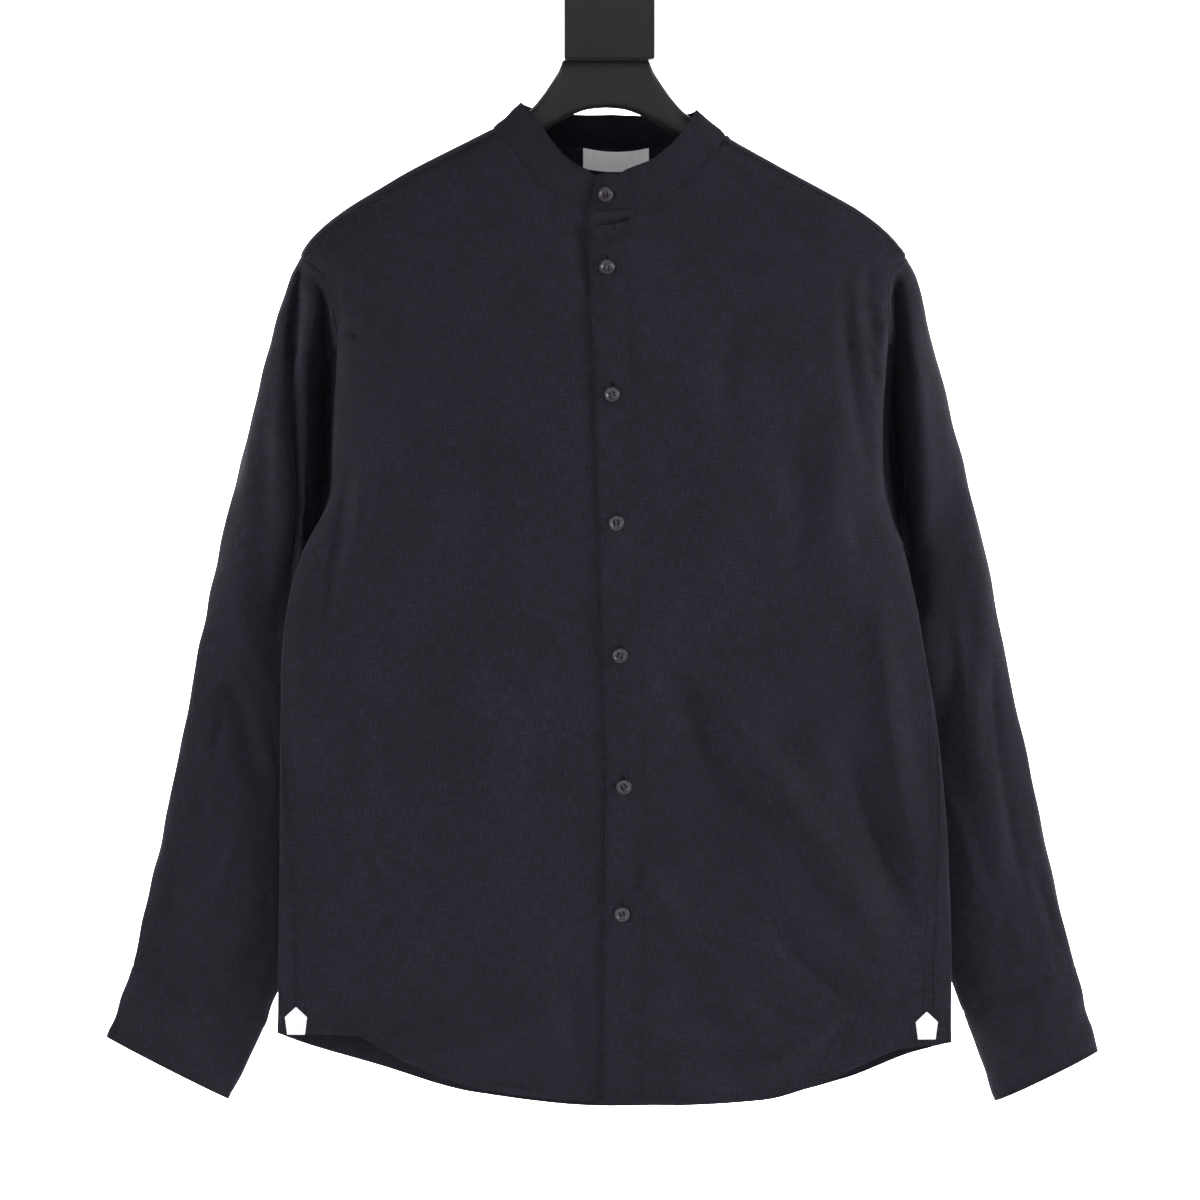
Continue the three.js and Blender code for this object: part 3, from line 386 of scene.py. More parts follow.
SLEEVE_LEFT = table(
    "t outer_x outer_z inner_x inner_z depth middle tilt",
    (0, 230, -288, 218, -508, 34, 12, 0),
    (0.06, 237, -301, 226, -520, 31, 20, 6),
    (0.13, 245, -324, 220, -538, 34, 25, 8),
    (0.21, 253.5, -360, 212, -558, 38, 29, 8),
    (0.3, 266.8, -408, 208, -582, 37, 32, 8),
    (0.4, 280, -464, 205, -612, 34, 34, 6),
    (0.5, 293, -520, 205, -645, 33, 34, 8),
    (0.6, 306, -583, 208, -682, 31, 33, 9),
    (0.7, 319, -648, 214, -722, 29, 30, 9),
    (0.8, 333, -714, 229, -764, 26, 27, 8),
    (0.9, 347.8, -778, 250, -815, 23, 22, 6),
    (1, 363, -841, 276, -879, 20, 17, 4),
)
SLEEVE_BLEND_TOP = 0.3
SLEEVE_BLEND_UNDER = 0.12
CUFF_FOOT_RIGHT = dict(zip(SLEEVE_COLUMNS, (394.5, -896.5, 299, -945.5, 12, 10, 2)))
CUFF_FOOT_LEFT = dict(zip(SLEEVE_COLUMNS, (381, -908, 300.5, -947.5, 21, 16, 2)))

# Valleys in the front of a sleeve, deeper than in the solids: where each runs, its width and depth
VALLEYS = {
    -1: (
        table(
            "height x width depth",
            (-296, 222, 4, 0),
            (-318, 222, 6, 12),
            (-345, 222, 8, 23),
            (-400, 222, 8.5, 26),
            (-450, 224, 8.5, 24),
            (-490, 228, 8, 16),
            (-535, 236, 8, 0),
        ),
        table(
            "height x width depth",
            (-284, 240, 3, 0),
            (-298, 241, 3.5, 7),
            (-325, 245, 4.5, 12),
            (-360, 247, 5.5, 15),
            (-423, 247, 6.5, 16),
            (-493, 249, 7.5, 14),
            (-545, 253, 9, 8),
            (-610, 258, 10, 0),
        ),
    ),
    1: (
        table(
            "height x width depth",
            (-276, 208, 3, 0),
            (-290, 212, 5, 8),
            (-310, 217, 7, 18),
            (-345, 220, 8.5, 26),
            (-403, 222, 10, 30),
            (-460, 225, 13, 28),
            (-505, 230, 12, 18),
            (-580, 240, 10, 0),
        ),
    ),
}
VALLEY_BLEND = 0.045
VALLEY_FRONT = 0.3

# Sleeve creases: a line from turn and t to turn and t, a bow, widths on either side, and height
SLEEVE_CREASES = {
    -1: (
        (20, 0.02, 66, 0.2, 3, 5, 9, 2.0),
        (58, 0.2, 92, 0.46, 4, 5, 10, 2.4),
        (70, 0.12, 84, 0.42, 6, 9, 13, 2.0),
        (112, 0.1, 120, 0.36, -6, 9, 9, -1.8),
        (30, 0.3, 58, 0.62, 8, 10, 14, 1.6),
        (96, 0.45, 132, 0.62, 6, 8, 11, 1.7),
        (64, 0.6, 110, 0.74, -5, 8, 10, -1.4),
        (88, 0.72, 60, 0.93, 6, 7, 10, 1.5),
        (120, 0.8, 104, 0.96, -4, 6, 9, 1.2),
        (40, 0.84, 46, 0.97, 3, 5, 7, -1.0),
        (75, 0.9, 82, 0.985, 2, 4, 6, -0.9),
        (140, 0.88, 132, 0.98, 2, 4, 5, 0.8),
        (200, 0.15, 250, 0.4, 8, 11, 14, 2.0),
        (290, 0.3, 240, 0.62, -8, 10, 14, 1.9),
        (220, 0.55, 280, 0.8, 6, 9, 12, -1.5),
        (300, 0.7, 262, 0.94, -5, 8, 10, 1.6),
        (230, 0.8, 240, 0.97, 3, 6, 8, 1.1),
        (330, 0.1, 318, 0.3, 4, 9, 10, 1.2),
        (44, 0.66, 74, 0.95, 5, 3.5, 6, 1.2),
        (58, 0.62, 66, 0.86, -3, 3, 5, -1.0),
        (84, 0.78, 70, 0.97, 3, 3, 5, 0.9),
        (104, 0.66, 92, 0.88, 4, 4, 6, 0.9),
    ),
    1: (
        (66, 0.1, 92, 0.38, -6, 10, 12, 1.9),
        (104, 0.08, 124, 0.3, 6, 8, 10, -1.7),
        (36, 0.34, 50, 0.66, -7, 11, 13, 1.5),
        (124, 0.42, 90, 0.6, -6, 8, 12, 1.6),
        (100, 0.58, 70, 0.78, 5, 9, 9, -1.3),
        (58, 0.7, 92, 0.9, -6, 8, 9, 1.6),
        (118, 0.76, 126, 0.95, 4, 6, 8, 1.1),
        (46, 0.86, 40, 0.98, -3, 5, 6, -1.0),
        (86, 0.9, 74, 0.985, -2, 4, 6, 0.9),
        (210, 0.12, 246, 0.36, -8, 12, 13, 2.1),
        (284, 0.28, 252, 0.58, 8, 9, 14, 1.8),
        (226, 0.5, 270, 0.76, -6, 10, 11, -1.6),
        (296, 0.68, 270, 0.92, 5, 8, 11, 1.5),
        (236, 0.82, 228, 0.97, -3, 6, 7, 1.0),
        (322, 0.12, 330, 0.32, -4, 8, 11, 1.3),
        (50, 0.56, 76, 0.9, 5, 3.5, 6, 1.3),
        (38, 0.6, 60, 0.93, 4, 3, 5, -1.1),
        (66, 0.5, 84, 0.76, -4, 4, 6, 1.0),
        (96, 0.72, 88, 0.96, 3, 3, 6, 0.9),
    ),
}
SLEEVE_MM_PER_TURN = 0.72
SLEEVE_MM_LONG = 590
SLEEVE_GRAIN_TURN = 0.19

# Heights of the yoke's columns along a shoulder seam
SHOULDER_STATIONS = (-281, -268, -255, -254.7, -250, -242, -228, -214, -201)

# Front neckline of each side: its height by the distance from its centre
NECKLINES = {
    -1: table(
        "across height",
        (14, -255),
        (18, -251),
        (33, -244.9),
        (47, -236.3),
        (63.9, -218),
        (73, -204.5),
        (88.3, -187.6),
    ),
    1: table(
        "across height",
        (14, -255),
        (22.7, -250.5),
        (36.7, -245),
        (53.7, -237.5),
        (67.7, -227),
        (81.7, -213),
        (94.7, -192.3),
    ),
}

# Where the collar leans over the neck and how far, by the turn round the neck from the centre front
COLLAR_FORM = table(
    "turn heading right left",
    (0, 0, 12, 12),
    (12, 34, 22, 22),
    (28, 66, 36, 36),
    (45, 76, 43, 43),
    (70, 82, 47, 47),
    (90, 90, 48, 50),
    (112, 110, 49, 54),
    (140, 142, 47, 52),
    (180, 180, 44, 44),
)

# Sections of the hanger's arms by the distance from its centre
ARM_ROWS = table(
    "across top bottom thickness squareness",
    (0, -134.6, -171.4, 12, 0.45),
    (12, -134.6, -172.4, 12, 0.45),
    (24, -134.6, -175.9, 12, 0.45),
    (33, -134.6, -180.5, 12, 0.45),
    (37, -143, -183, 12, 0.5),
    (42, -151, -186, 12, 0.6),
    (50, -162.5, -191.5, 12, 0.7),
    (60, -174, -198, 12, 0.8),
    (80, -189, -211, 12, 0.85),
    (100, -204, -222, 12, 0.85),
    (120, -214.5, -234, 13, 0.85),
    (140, -222, -246, 14, 0.85),
    (170, -230, -262, 16, 0.85),
    (200, -250, -279, 19, 0.9),
    (213, -262, -286, 17, 0.9),
    (218, -270, -282, 9, 1),
)

# Reach of the neckline to either side
NECK_RIGHT = 93
NECK_LEFT = 90
NECK_BACK_CURVE = 2.5


def mix(start, end, share):
    return start + (end - start) * share


def smooth(share):
    held = np.clip(share, 0, 1)
    return held * held * (3 - 2 * held)


def sin_deg(angle):
    return np.sin(np.radians(angle))


def cos_deg(angle):
    return np.cos(np.radians(angle))


def unit(vectors):
    return vectors / np.maximum(np.linalg.norm(vectors, axis=-1, keepdims=True), 1e-12)


def bend(share, span, start, end, start_slope, end_slope):
    """Smooth step from one value to the next, with a given slope at each."""
    rest = 1 - share
    return (
        (1 + 2 * share) * rest * rest * start
        + share * rest * rest * span * start_slope
        + share * share * (3 - 2 * share) * end
        - share * share * rest * span * end_slope
    )


def read(rows, at, column):
    """Smooth reading of a table between its rows, by its first column, with no overshoot."""
    keys, values = next(iter(rows.values())), rows[column]
    if keys[-1] < keys[0]:
        keys, values = keys[::-1], values[::-1]
    slopes = np.diff(values) / np.diff(keys)
    before = np.concatenate([slopes[:1], slopes])
    after = np.concatenate([slopes, slopes[-1:]])
    same = before * after > 0
    tangents = np.where(same, 2 * before * after / np.where(same, before + after, 1), 0)
    held = np.clip(np.asarray(at, dtype=float), keys[0], keys[-1])
    row = np.clip(np.searchsorted(keys, held, side="right") - 1, 0, len(keys) - 2)
    span = keys[row + 1] - keys[row]
    share = (held - keys[row]) / span
    return bend(share, span, values[row], values[row + 1], tangents[row], tangents[row + 1])


def waves(x, y, seed, shortest, longest, count=18):
    """Gentle unevenness from crossing waves, about -1 to 1."""
    rng = np.random.default_rng(seed)
    total = np.zeros(np.broadcast(x, y).shape)
    for _ in range(count):
        length = rng.uniform(shortest, longest)
        heading = rng.uniform(0, math.pi)
        phase = rng.uniform(0, 2 * math.pi)
        along = x * math.cos(heading) + y * math.sin(heading)
        total += np.sin(along * 2 * math.pi / length + phase)
    return total / math.sqrt(count)


def reach_at(height, sine):
    right = read(OUTLINE, height, "right")
    left = read(OUTLINE, height, "left")
    return (left + right) / 2 + (left - right) / 2 * sine


def beside_line(x, y, x1, y1, x2, y2):
    """Where a point lies along a line, as a share of its length, and how far to its side."""
    along_x, along_y = x2 - x1, y2 - y1
    length = math.hypot(along_x, along_y)
    share = ((x - x1) * along_x + (y - y1) * along_y) / length**2
    return share, ((x - x1) * along_y - (y - y1) * along_x) / length


def fold_rise(folds, x, height):
    """Distance that the large soft folds push the torso's surface out."""
    rise = np.zeros(np.broadcast(x, height).shape)
    for *line, width, depth in folds:
        share, away = beside_line(x, height, *line)
        ends = smooth(share / FOLD_END) * smooth((1 - share) / FOLD_END)
        rise += depth * ends * np.exp(-2 * (away / width) ** 2)
    return rise


def crease_rise(creases, x, y):
    """Height of the listed creases at a point. The two flanks of a crease differ."""
    rise = np.zeros(np.broadcast(x, y).shape)
    for *line, bow, width_a, width_b, depth in creases:
        share, away = beside_line(x, y, *line)
        held = np.clip(share, 0, 1)
        away = away - bow * 4 * held * (1 - held)
        width = np.where(away > 0, width_a, width_b)
        ends = smooth(share / 0.35 + 0.15) * smooth((1 - share) / 0.45 + 0.1)
        rise += depth * ends * np.exp(-((away / width) ** 2))
    return rise


def torso(angle, height):
    """Point of the torso's outer surface. The angle turns from the centre front to the wearer's left."""
    angle, height = np.broadcast_arrays(np.asarray(angle, dtype=float), np.asarray(height, dtype=float))
    sine, cosine = sin_deg(angle), cos_deg(angle)
    reach = reach_at(height, sine)
    side = read(DEPTHS, height, "side")
    front = cosine >= 0
    full = np.where(
        front,
        read(DEPTHS, height, "front") + side,
        read(DEPTHS, height, "back") - side,
    )
    inset = np.clip((1 - np.abs(sine)) * reach / FOLD_RADIUS, 0, 1)
    tip = FOLD_RADIUS * np.sqrt(1 - (1 - inset) ** 2)
    power = np.where(
        front,
        read(DEPTHS, height, "crown_front"),
        read(DEPTHS, height, "crown_back"),
    )
    x = reach * sine
    fade = smooth(np.abs(cosine) / 0.35)
    folds = np.where(front, fold_rise(FRONT_FOLDS, x, height), fold_rise(BACK_FOLDS, x, height))
    creases = np.where(
        front,
        crease_rise(FRONT_CREASES, x, height),
        crease_rise(BACK_CREASES, x, height),
    )
    uneven = np.where(front, waves(x, height, 3, 34, 110), waves(x, height, 4, 34, 110))
    depth = tip + (full - FOLD_RADIUS) * np.abs(cosine) ** power + folds * np.abs(cosine)
    depth = depth + (CREASE_GAIN * creases + TORSO_UNEVEN * uneven) * fade
    y = np.where(front, side - depth, side + depth)
    return np.stack([x, y, height], axis=-1)


def torso_place(angle, height, lift=0.0):
    """Points on the torso, raised by lift, and their outward normals."""
    step = 0.5
    around = torso(angle + step, height) - torso(angle - step, height)
    up = torso(angle, height + step) - torso(angle, height - step)
    normals = unit(np.cross(around, up))
    return torso(angle, height) + normals * np.asarray(lift)[..., None], normals


def angle_across(x, height, back=False):
    sine = np.zeros(np.broadcast(x, height).shape)
    for _ in range(6):
        sine = np.clip(x / reach_at(height, sine), -1, 1)
    angle = np.degrees(np.arcsin(sine))
    return 180 - angle if back else angle


def row_heights(levels, angle):
    """Heights of rows that follow the hem at their foot and are level further up."""
    level = np.broadcast_to(levels, angle.shape)
    across = sin_deg(angle)
    hem = np.where(
        cos_deg(angle) >= 0,
        read(FRONT_HEM, across, "height"),
        read(BACK_HEM, across, "height"),
    )
    fade = smooth((HEM_FADE_TOP - level) / (HEM_FADE_TOP - HEM_LEVEL))
    return np.where(level < HEM_FADE_TOP, level + (hem - HEM_LEVEL) * fade, level)


def loop_place(side, count):
    """The armhole's loop: height and angle by count from its top, down its front, up its back."""
    count = np.asarray(count, dtype=float) % LOOP_COUNT
    turn = count / LOOP_COUNT * 360
    middle = (ARMHOLE_TOP + ARMPIT_HEIGHT) / 2
    height = middle + (ARMHOLE_TOP - ARMPIT_HEIGHT) / 2 * cos_deg(turn)
    angle = np.where(
        turn <= 180,
        read(ARMHOLE_FRONT, height, "angle"),
        read(ARMHOLE_BACK, height, "angle"),
    )
    return height, side * angle


def ridge_height(side, reach):
    low, high = float(ARMHOLE_TOP), float(OUTLINE["height"][0])
    for _ in range(30):
        middle = (low + high) / 2
        if reach_at(middle, side) > reach:
            low = middle
        else:
            high = middle
    return (low + high) / 2


RIDGE_RIGHT = ridge_height(-1, NECK_RIGHT)
RIDGE_LEFT = ridge_height(1, NECK_LEFT)
NECK_CENTRE = float(read(BUTTON_LINE, NECK_FRONT, "x"))
LAP_TURN = math.degrees(math.asin(LAP_WIDTH / (NECK_LEFT - NECK_CENTRE)))


def neck_place(turn):
    """Neckline by the turn round the neck, from the centre front to the wearer's left."""
    turn = np.asarray(turn, dtype=float)
    sine = sin_deg(turn)
    across = np.abs(sine)
    left = sine >= 0
    front = cos_deg(turn) >= 0
    reach = np.where(left, NECK_LEFT, -NECK_RIGHT)
    front_x = mix(NECK_CENTRE, reach, across)
    away = np.abs(front_x - NECK_CENTRE)
    front_height = np.where(
        left,
        read(NECKLINES[1], away, "height"),
        read(NECKLINES[-1], away, "height"),
    )
    back_height = mix(NECK_BACK, np.where(left, RIDGE_LEFT, RIDGE_RIGHT), across**NECK_BACK_CURVE)
    height = np.where(front, front_height, back_height)
    forward_angle = angle_across(np.where(front, front_x, reach * across), height)
    return height, np.where(front, forward_angle, 180 - forward_angle)


def neck_turn(side, height):
    """Turn round the neck where the front neckline is at a height."""
    height = np.asarray(height, dtype=float)
    low, high = np.zeros(height.shape), np.full(height.shape, 90.0)
    for _ in range(40):
        middle = (low + high) / 2
        below = neck_place(side * middle)[0] < height
        low, high = np.where(below, middle, low), np.where(below, high, middle)
    return (low + high) / 2


def seam_top(side):
    """Height where a shoulder's front seam runs into the neckline."""
    low, high = SHOULDER_STATIONS[-1], (RIDGE_LEFT if side > 0 else RIDGE_RIGHT)
    for _ in range(40):
        middle = (low + high) / 2
        neck_angle = abs(float(neck_place(side * neck_turn(side, middle))[1]))
        if neck_angle < read(SHOULDER_SEAM, middle, "angle"):
            low = middle
        else:
            high = middle
    return (low + high) / 2


SEAM_TOPS = {-1: seam_top(-1), 1: seam_top(1)}


def shoulder_angle(side, height):
    return side * read(SHOULDER_SEAM, height, "angle")


def lap_lift(x, height):
    """The wearer's left front lies on the right one near the centre."""
    edge = read(BUTTON_LINE, height, "x") + LAP_WIDTH
    return LAP_RISE * (1 - smooth((x - edge) / LAP_BLEND))


class Grid:
    """Points and outward normals of a cloth surface, with lengths along its two directions."""

    def __init__(self, points, normals, around=False):
        self.points = points
        self.normals = normals
        self.around = around
        steps = np.linalg.norm(np.diff(points, axis=0), axis=-1)
        if around:
            steps = np.concatenate([steps, np.linalg.norm(points[:1] - points[-1:], axis=-1)])
        first = np.zeros((1, points.shape[1]))
        self.across = np.concatenate([first, np.cumsum(steps, axis=0)])
        rises = np.linalg.norm(np.diff(points, axis=1), axis=-1)
        self.up = np.concatenate([np.zeros((points.shape[0], 1)), np.cumsum(rises, axis=1)], axis=1)

    def raised(self, lift):
        """The same grid with its surface raised along its normals, and new normals."""
        points = self.points + self.normals * lift[..., None]
        if self.around:
            around = np.roll(points, -1, axis=0) - np.roll(points, 1, axis=0)
        else:
            around = np.gradient(points, axis=0)
        normals = unit(np.cross(around, np.gradient(points, axis=1)))
        flip = np.sign((normals * self.normals).sum(-1, keepdims=True))
        return Grid(points, np.where(flip == 0, self.normals, normals * flip), self.around)

    def from_edge(self, edge):
        """Distance of each point from an edge: start, end, foot or top."""
        columns = self.points.shape[0]
        if edge == "start":
            return self.across[:columns]
        if edge == "end":
            return self.across[-1:] - self.across[:columns]
        if edge == "foot":
            return self.up
        return self.up[:, -1:] - self.up

    def edges(self):
        return [self.from_edge(edge) for edge in ("start", "end", "foot", "top")]

    def lines(self, *rows):
        return [self.line(edge, distance) for edge, distance in rows]

    def line(self, edge, distance):
        """Points and normals along a line that keeps its distance from an edge."""
        points, normals = self.points, self.normals
        away = np.broadcast_to(self.from_edge(edge), points.shape[:2])
        if edge in ("start", "end"):
            points, normals, away = (np.swapaxes(part, 0, 1) for part in (points, normals, away))
        if edge in ("end", "top"):
            points, normals, away = points[:, ::-1], normals[:, ::-1], away[:, ::-1]
        rows = np.arange(len(points))
        index = np.clip((away <= distance).sum(axis=1) - 1, 0, points.shape[1] - 2)
        span = np.maximum(away[rows, index + 1] - away[rows, index], 1e-9)
        share = np.clip((distance - away[rows, index]) / span, 0, 1)[:, None]
        found = mix(points[rows, index], points[rows, index + 1], share)
        turned = unit(mix(normals[rows, index], normals[rows, index + 1], share))
        if self.around and edge in ("foot", "top"):
            found = np.concatenate([found, found[:1]])
            turned = np.concatenate([turned, turned[:1]])
        return found, turned


def seam_dip(distance, depth=0.5, width=1.3):
    """Surface change beside a seam, where the cloth's folded edge turns in."""
    return -depth * np.exp(-((distance / width) ** 2))


def stitch_dip(distance, at, depth=0.22, width=1.1):
    return -depth * np.exp(-(((distance - at) / width) ** 2))


def band_step(distance, at, height=0.3, width=1.0):
    """A folded band beside an edge is a layer thicker than the cloth beyond it."""
    return height * smooth((at - distance) / width + 0.5)


def pucker(along, distance, seed, depth=0.22, reach=9):
    """Small gathers beside a row of stitches."""
    gathers = waves(along, distance * 0.25, seed, 6, 15, 10)
    return depth * gathers * np.exp(-((distance / reach) ** 2))


def hem_relief(grid, foot, seed):
    """The turned hem, its stitched groove and its small gathers."""
    return band_step(foot, HEM_FOLD) + stitch_dip(foot, HEM_DIP) + pucker(grid.across, foot, seed)


def add_object(name, data):
    piece = bpy.data.objects.new(name, data)
    bpy.context.scene.collection.objects.link(piece)
    return piece


def soften(mesh, sharp):
    """Smooth shading, but for edges sharper than an angle in degrees."""
    mesh.polygons.foreach_set("use_smooth", [True] * len(mesh.polygons))
    mesh.set_sharp_from_angle(angle=math.radians(sharp))


def make_mesh(name, points, faces, uv=None, sharp=48):
    mesh = bpy.data.meshes.new(name)
    mesh.from_pydata((np.asarray(points) / 1000).tolist(), [], faces)
    if uv is not None:
        layer = mesh.uv_layers.new(name="cloth")
        layer.data.foreach_set("uv", (np.asarray(uv) / 1000).ravel())
    soften(mesh, sharp)
    mesh.validate()
    return add_object(name, mesh)


def mesh_from(body, name):
    """A mesh from a bmesh, which is freed."""
    mesh = bpy.data.meshes.new(name)
    body.to_mesh(mesh)
    body.free()
    return mesh


def front_plan(points, turn=0.0):
    """Cloth grain seen from the front, turned by an angle in the picture's plane."""
    cosine, sine = math.cos(turn), math.sin(turn)
    x, z = points[..., 0], points[..., 2]
    return np.stack([x * cosine + z * sine, z * cosine - x * sine], axis=-1)


def shell(name, grid, wall, plan=None):
    """A closed thin shell from a grid: outer layer, inner layer and rims."""
    points, normals = grid.points, grid.normals
    columns, rows = points.shape[:2]
    cells = columns if grid.around else columns - 1
    inner_start = columns * rows
    if plan is None:
        plan = np.stack([grid.across[:columns] - grid.across[:1], grid.up], axis=-1)
    uv_grid = plan[np.arange(cells + 1) % columns]

    def corner(i, j):
        return (i % columns) * rows + j

    grid_steps = np.meshgrid(np.arange(cells), np.arange(rows - 1), indexing="ij")
    i, j = (part.ravel() for part in grid_steps)
    corners = ((i, j), (i + 1, j), (i + 1, j + 1), (i, j + 1))
    outer = np.stack([corner(a, b) for a, b in corners], axis=1)
    outer_uv = np.stack([uv_grid[a, b] for a, b in corners], axis=1)
    faces = [outer, outer[:, ::-1] + inner_start]
    uvs = [outer_uv, outer_uv[:, ::-1]]

    def rim(a_i, a_j, b_i, b_j):
        first, second = corner(a_i, a_j), corner(b_i, b_j)
        faces.append(np.stack([second, first, first + inner_start, second + inner_start], axis=1))
        start, end = uv_grid[a_i, a_j], uv_grid[b_i, b_j]
        uvs.append(np.stack([end, start, start, end], axis=1))

    steps = np.arange(cells)
    first, last = np.zeros_like(steps), np.full_like(steps, rows - 1)
    rim(steps, first, steps + 1, first)
    rim(steps + 1, last, steps, last)
    if not grid.around:
        steps = np.arange(rows - 1)
        first, last = np.zeros_like(steps), np.full_like(steps, columns - 1)
        rim(first, steps + 1, first, steps)
        rim(last, steps, last, steps + 1)
    faces, uvs = np.concatenate(faces), np.concatenate(uvs)
    first = points[0, rows // 2], points[1, rows // 2], points[1, rows // 2 + 1]
    turned = np.cross(first[1] - first[0], first[2] - first[0]) @ normals[0, rows // 2]
    if turned < 0:
        faces, uvs = faces[:, ::-1], uvs[:, ::-1]
    vertices = np.concatenate([points.reshape(-1, 3), (points - wall * normals).reshape(-1, 3)])
    return make_mesh(name, vertices, faces.tolist(), uvs.reshape(-1, 2))


def belongs(piece, slot_name, material, *nodes):
    """Gives a piece its material and body, and hides the nodes that it stands for. Its slot name is not
    used.
    """
    piece.data.materials.clear()
    piece.data.materials.append(material)
    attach(piece, "root")
    if nodes:
        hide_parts(*nodes)
    return piece


def resample(points, normals, pitch):
    """Centres, tangents and normals at even steps along a line."""
    steps = np.linalg.norm(np.diff(points, axis=0), axis=1)
    lengths = np.concatenate([[0], np.cumsum(steps)])
    at = np.arange(pitch, lengths[-1] - pitch / 2, pitch)

    def along(places, values):
        return np.stack([np.interp(places, lengths, values[:, k]) for k in range(3)], axis=1)

    tangents = unit(along(at + pitch / 2, points) - along(at - pitch / 2, points))
    return along(at, points), tangents, unit(along(at, normals))


def stitches(name, lines, material, slot_name="linen", pitch=3.0, length=2.1, radius=0.24):
    """Rows of sewn stitches, each a short spindle lying on the cloth."""
    sides = 5
    turns = np.arange(sides) / sides * 2 * math.pi
    template = [(-length / 2, 0, -0.1)]
    for along in (-length * 0.28, length * 0.28):
        template += [(along, radius * math.cos(turn), radius * math.sin(turn)) for turn in turns]
    template.append((length / 2, 0, -0.1))
    template = np.array(template)
    faces = []
    for corner in range(sides):
        after = (corner + 1) % sides
        faces.append((0, 1 + after, 1 + corner))
        faces.append((1 + corner, 1 + after, 1 + sides + after, 1 + sides + corner))
        faces.append((1 + sides + corner, 1 + sides + after, 1 + 2 * sides))
    vertices, all_faces, start = [], [], 0
    for points, normals in lines:
        centres, tangents, turned = resample(points, normals, pitch)
        if not len(centres):
            continue
        sideways = unit(np.cross(turned, tangents))
        axes = np.stack([tangents, sideways, turned], axis=1)
        placed = centres[:, None, :] + turned[:, None, :] * radius * 0.45 + template @ axes
        vertices.append(placed.reshape(-1, 3))
        for index in range(len(centres)):
            all_faces += [tuple(start + index * len(template) + k for k in face) for face in faces]
        start += len(centres) * len(template)
    piece = make_mesh(name, np.concatenate(vertices), all_faces, sharp=60)
    return belongs(piece, slot_name, material)


def sewn(name, grid, lines, wall=CLOTH_WALL, plan=None, sewing=None):
    """A piece of linen and its rows of stitches."""
    cloth = belongs(shell(f"{name}_cloth", grid, wall, plan), "linen", linen, name)
    return cloth, stitches(sewing or f"stitches_{name}", lines, thread)


def trim(name, grid, wall, material, lines, pitch):
    """A piece of white cloth, such as the label, and its small stitches."""
    cloth = belongs(shell(f"{name}_cloth", grid, wall), "white_cotton", material, name)
    return cloth, stitches(f"stitches_{name}", lines, material, "white_cotton", pitch, 1.4, 0.2)


def tube_faces(rings, sides, start=0):
    """Faces of a closed tube: its sides ring by ring, then its two ends."""
    faces = []
    for base in range(start, start + (rings - 1) * sides, sides):
        for corner in range(sides):
            after = (corner + 1) % sides
            faces.append((base + corner, base + after, base + sides + after, base + sides + corner))
    last = start + (rings - 1) * sides
    faces.append(tuple(reversed(range(start, start + sides))))
    faces.append(tuple(range(last, last + sides)))
    return faces


class Graph:
    """Short way to build a material's nodes."""

    def __init__(self, name):
        self.material = bpy.data.materials.new(name)
        self.material.use_nodes = True
        self.tree = self.material.node_tree
        self.shader = self.tree.nodes["Principled BSDF"]

    def cloth_uv(self):
        node = self.tree.nodes.new("ShaderNodeUVMap")
        node.uv_map = "cloth"
        return node.outputs["UV"]

    def object_place(self):
        return self.tree.nodes.new("ShaderNodeTexCoord").outputs["Object"]

    def join(self, start, end):
        self.tree.links.new(start, end)

    def maths(self, operation, first, second=None):
        node = self.tree.nodes.new("ShaderNodeMath")
        node.operation = operation
        for index, value in enumerate((first, second)):
            if value is None:
                continue
            if isinstance(value, (int, float)):
                node.inputs[index].default_value = value
            else:
                self.join(value, node.inputs[index])
        return node.outputs[0]

    def ranged(self, source, gain, offset):
        return self.maths("ADD", self.maths("MULTIPLY", source, gain), offset)

    def noise(self, source, stretch, detail=2.0, roughness=0.5):
        """Noise over a source of places, stretched along each axis."""
        mapping = self.tree.nodes.new("ShaderNodeMapping")
        mapping.inputs["Scale"].default_value = stretch
        self.join(source, mapping.inputs["Vector"])
        node = self.tree.nodes.new("ShaderNodeTexNoise")
        for name, value in (("Scale", 1.0), ("Detail", detail), ("Roughness", roughness)):
            node.inputs[name].default_value = value
        self.join(mapping.outputs[0], node.inputs["Vector"])
        return node.outputs["Fac"]

    def ramp(self, source, *stops):
        node = self.tree.nodes.new("ShaderNodeValToRGB")
        ramp = node.color_ramp
        while len(ramp.elements) < len(stops):
            ramp.elements.new(0.5)
        for element, (position, colour) in zip(ramp.elements, stops):
            element.position = position
            element.color = (*colour, 1)
        self.join(source, node.inputs["Fac"])
        return node.outputs["Color"]

    def blend(self, factor, first, second, kind="MIX"):
        node = self.tree.nodes.new("ShaderNodeMix")
        node.data_type = "RGBA"
        node.blend_type = kind
        for name, value in (("Factor", factor), ("A", first), ("B", second)):
            socket = next(s for s in node.inputs if s.name == name and s.enabled)
            if isinstance(value, (int, float)):
                socket.default_value = value
            elif isinstance(value, tuple):
                socket.default_value = (*value, 1)
            else:
                self.join(value, socket)
        return next(s for s in node.outputs if s.enabled)

    def bump(self, height, strength, distance):
        node = self.tree.nodes.new("ShaderNodeBump")
        node.inputs["Strength"].default_value = strength
        node.inputs["Distance"].default_value = distance
        self.join(height, node.inputs["Height"])
        return node.outputs["Normal"]

    def surface(self, values):
        """Sets the shader's inputs: a constant on its own socket, an output by a link."""
        for name, value in values.items():
            if isinstance(value, (int, float, tuple)):
                self.shader.inputs[name].default_value = value
            else:
                self.join(value, self.shader.inputs[name])
        return self.material


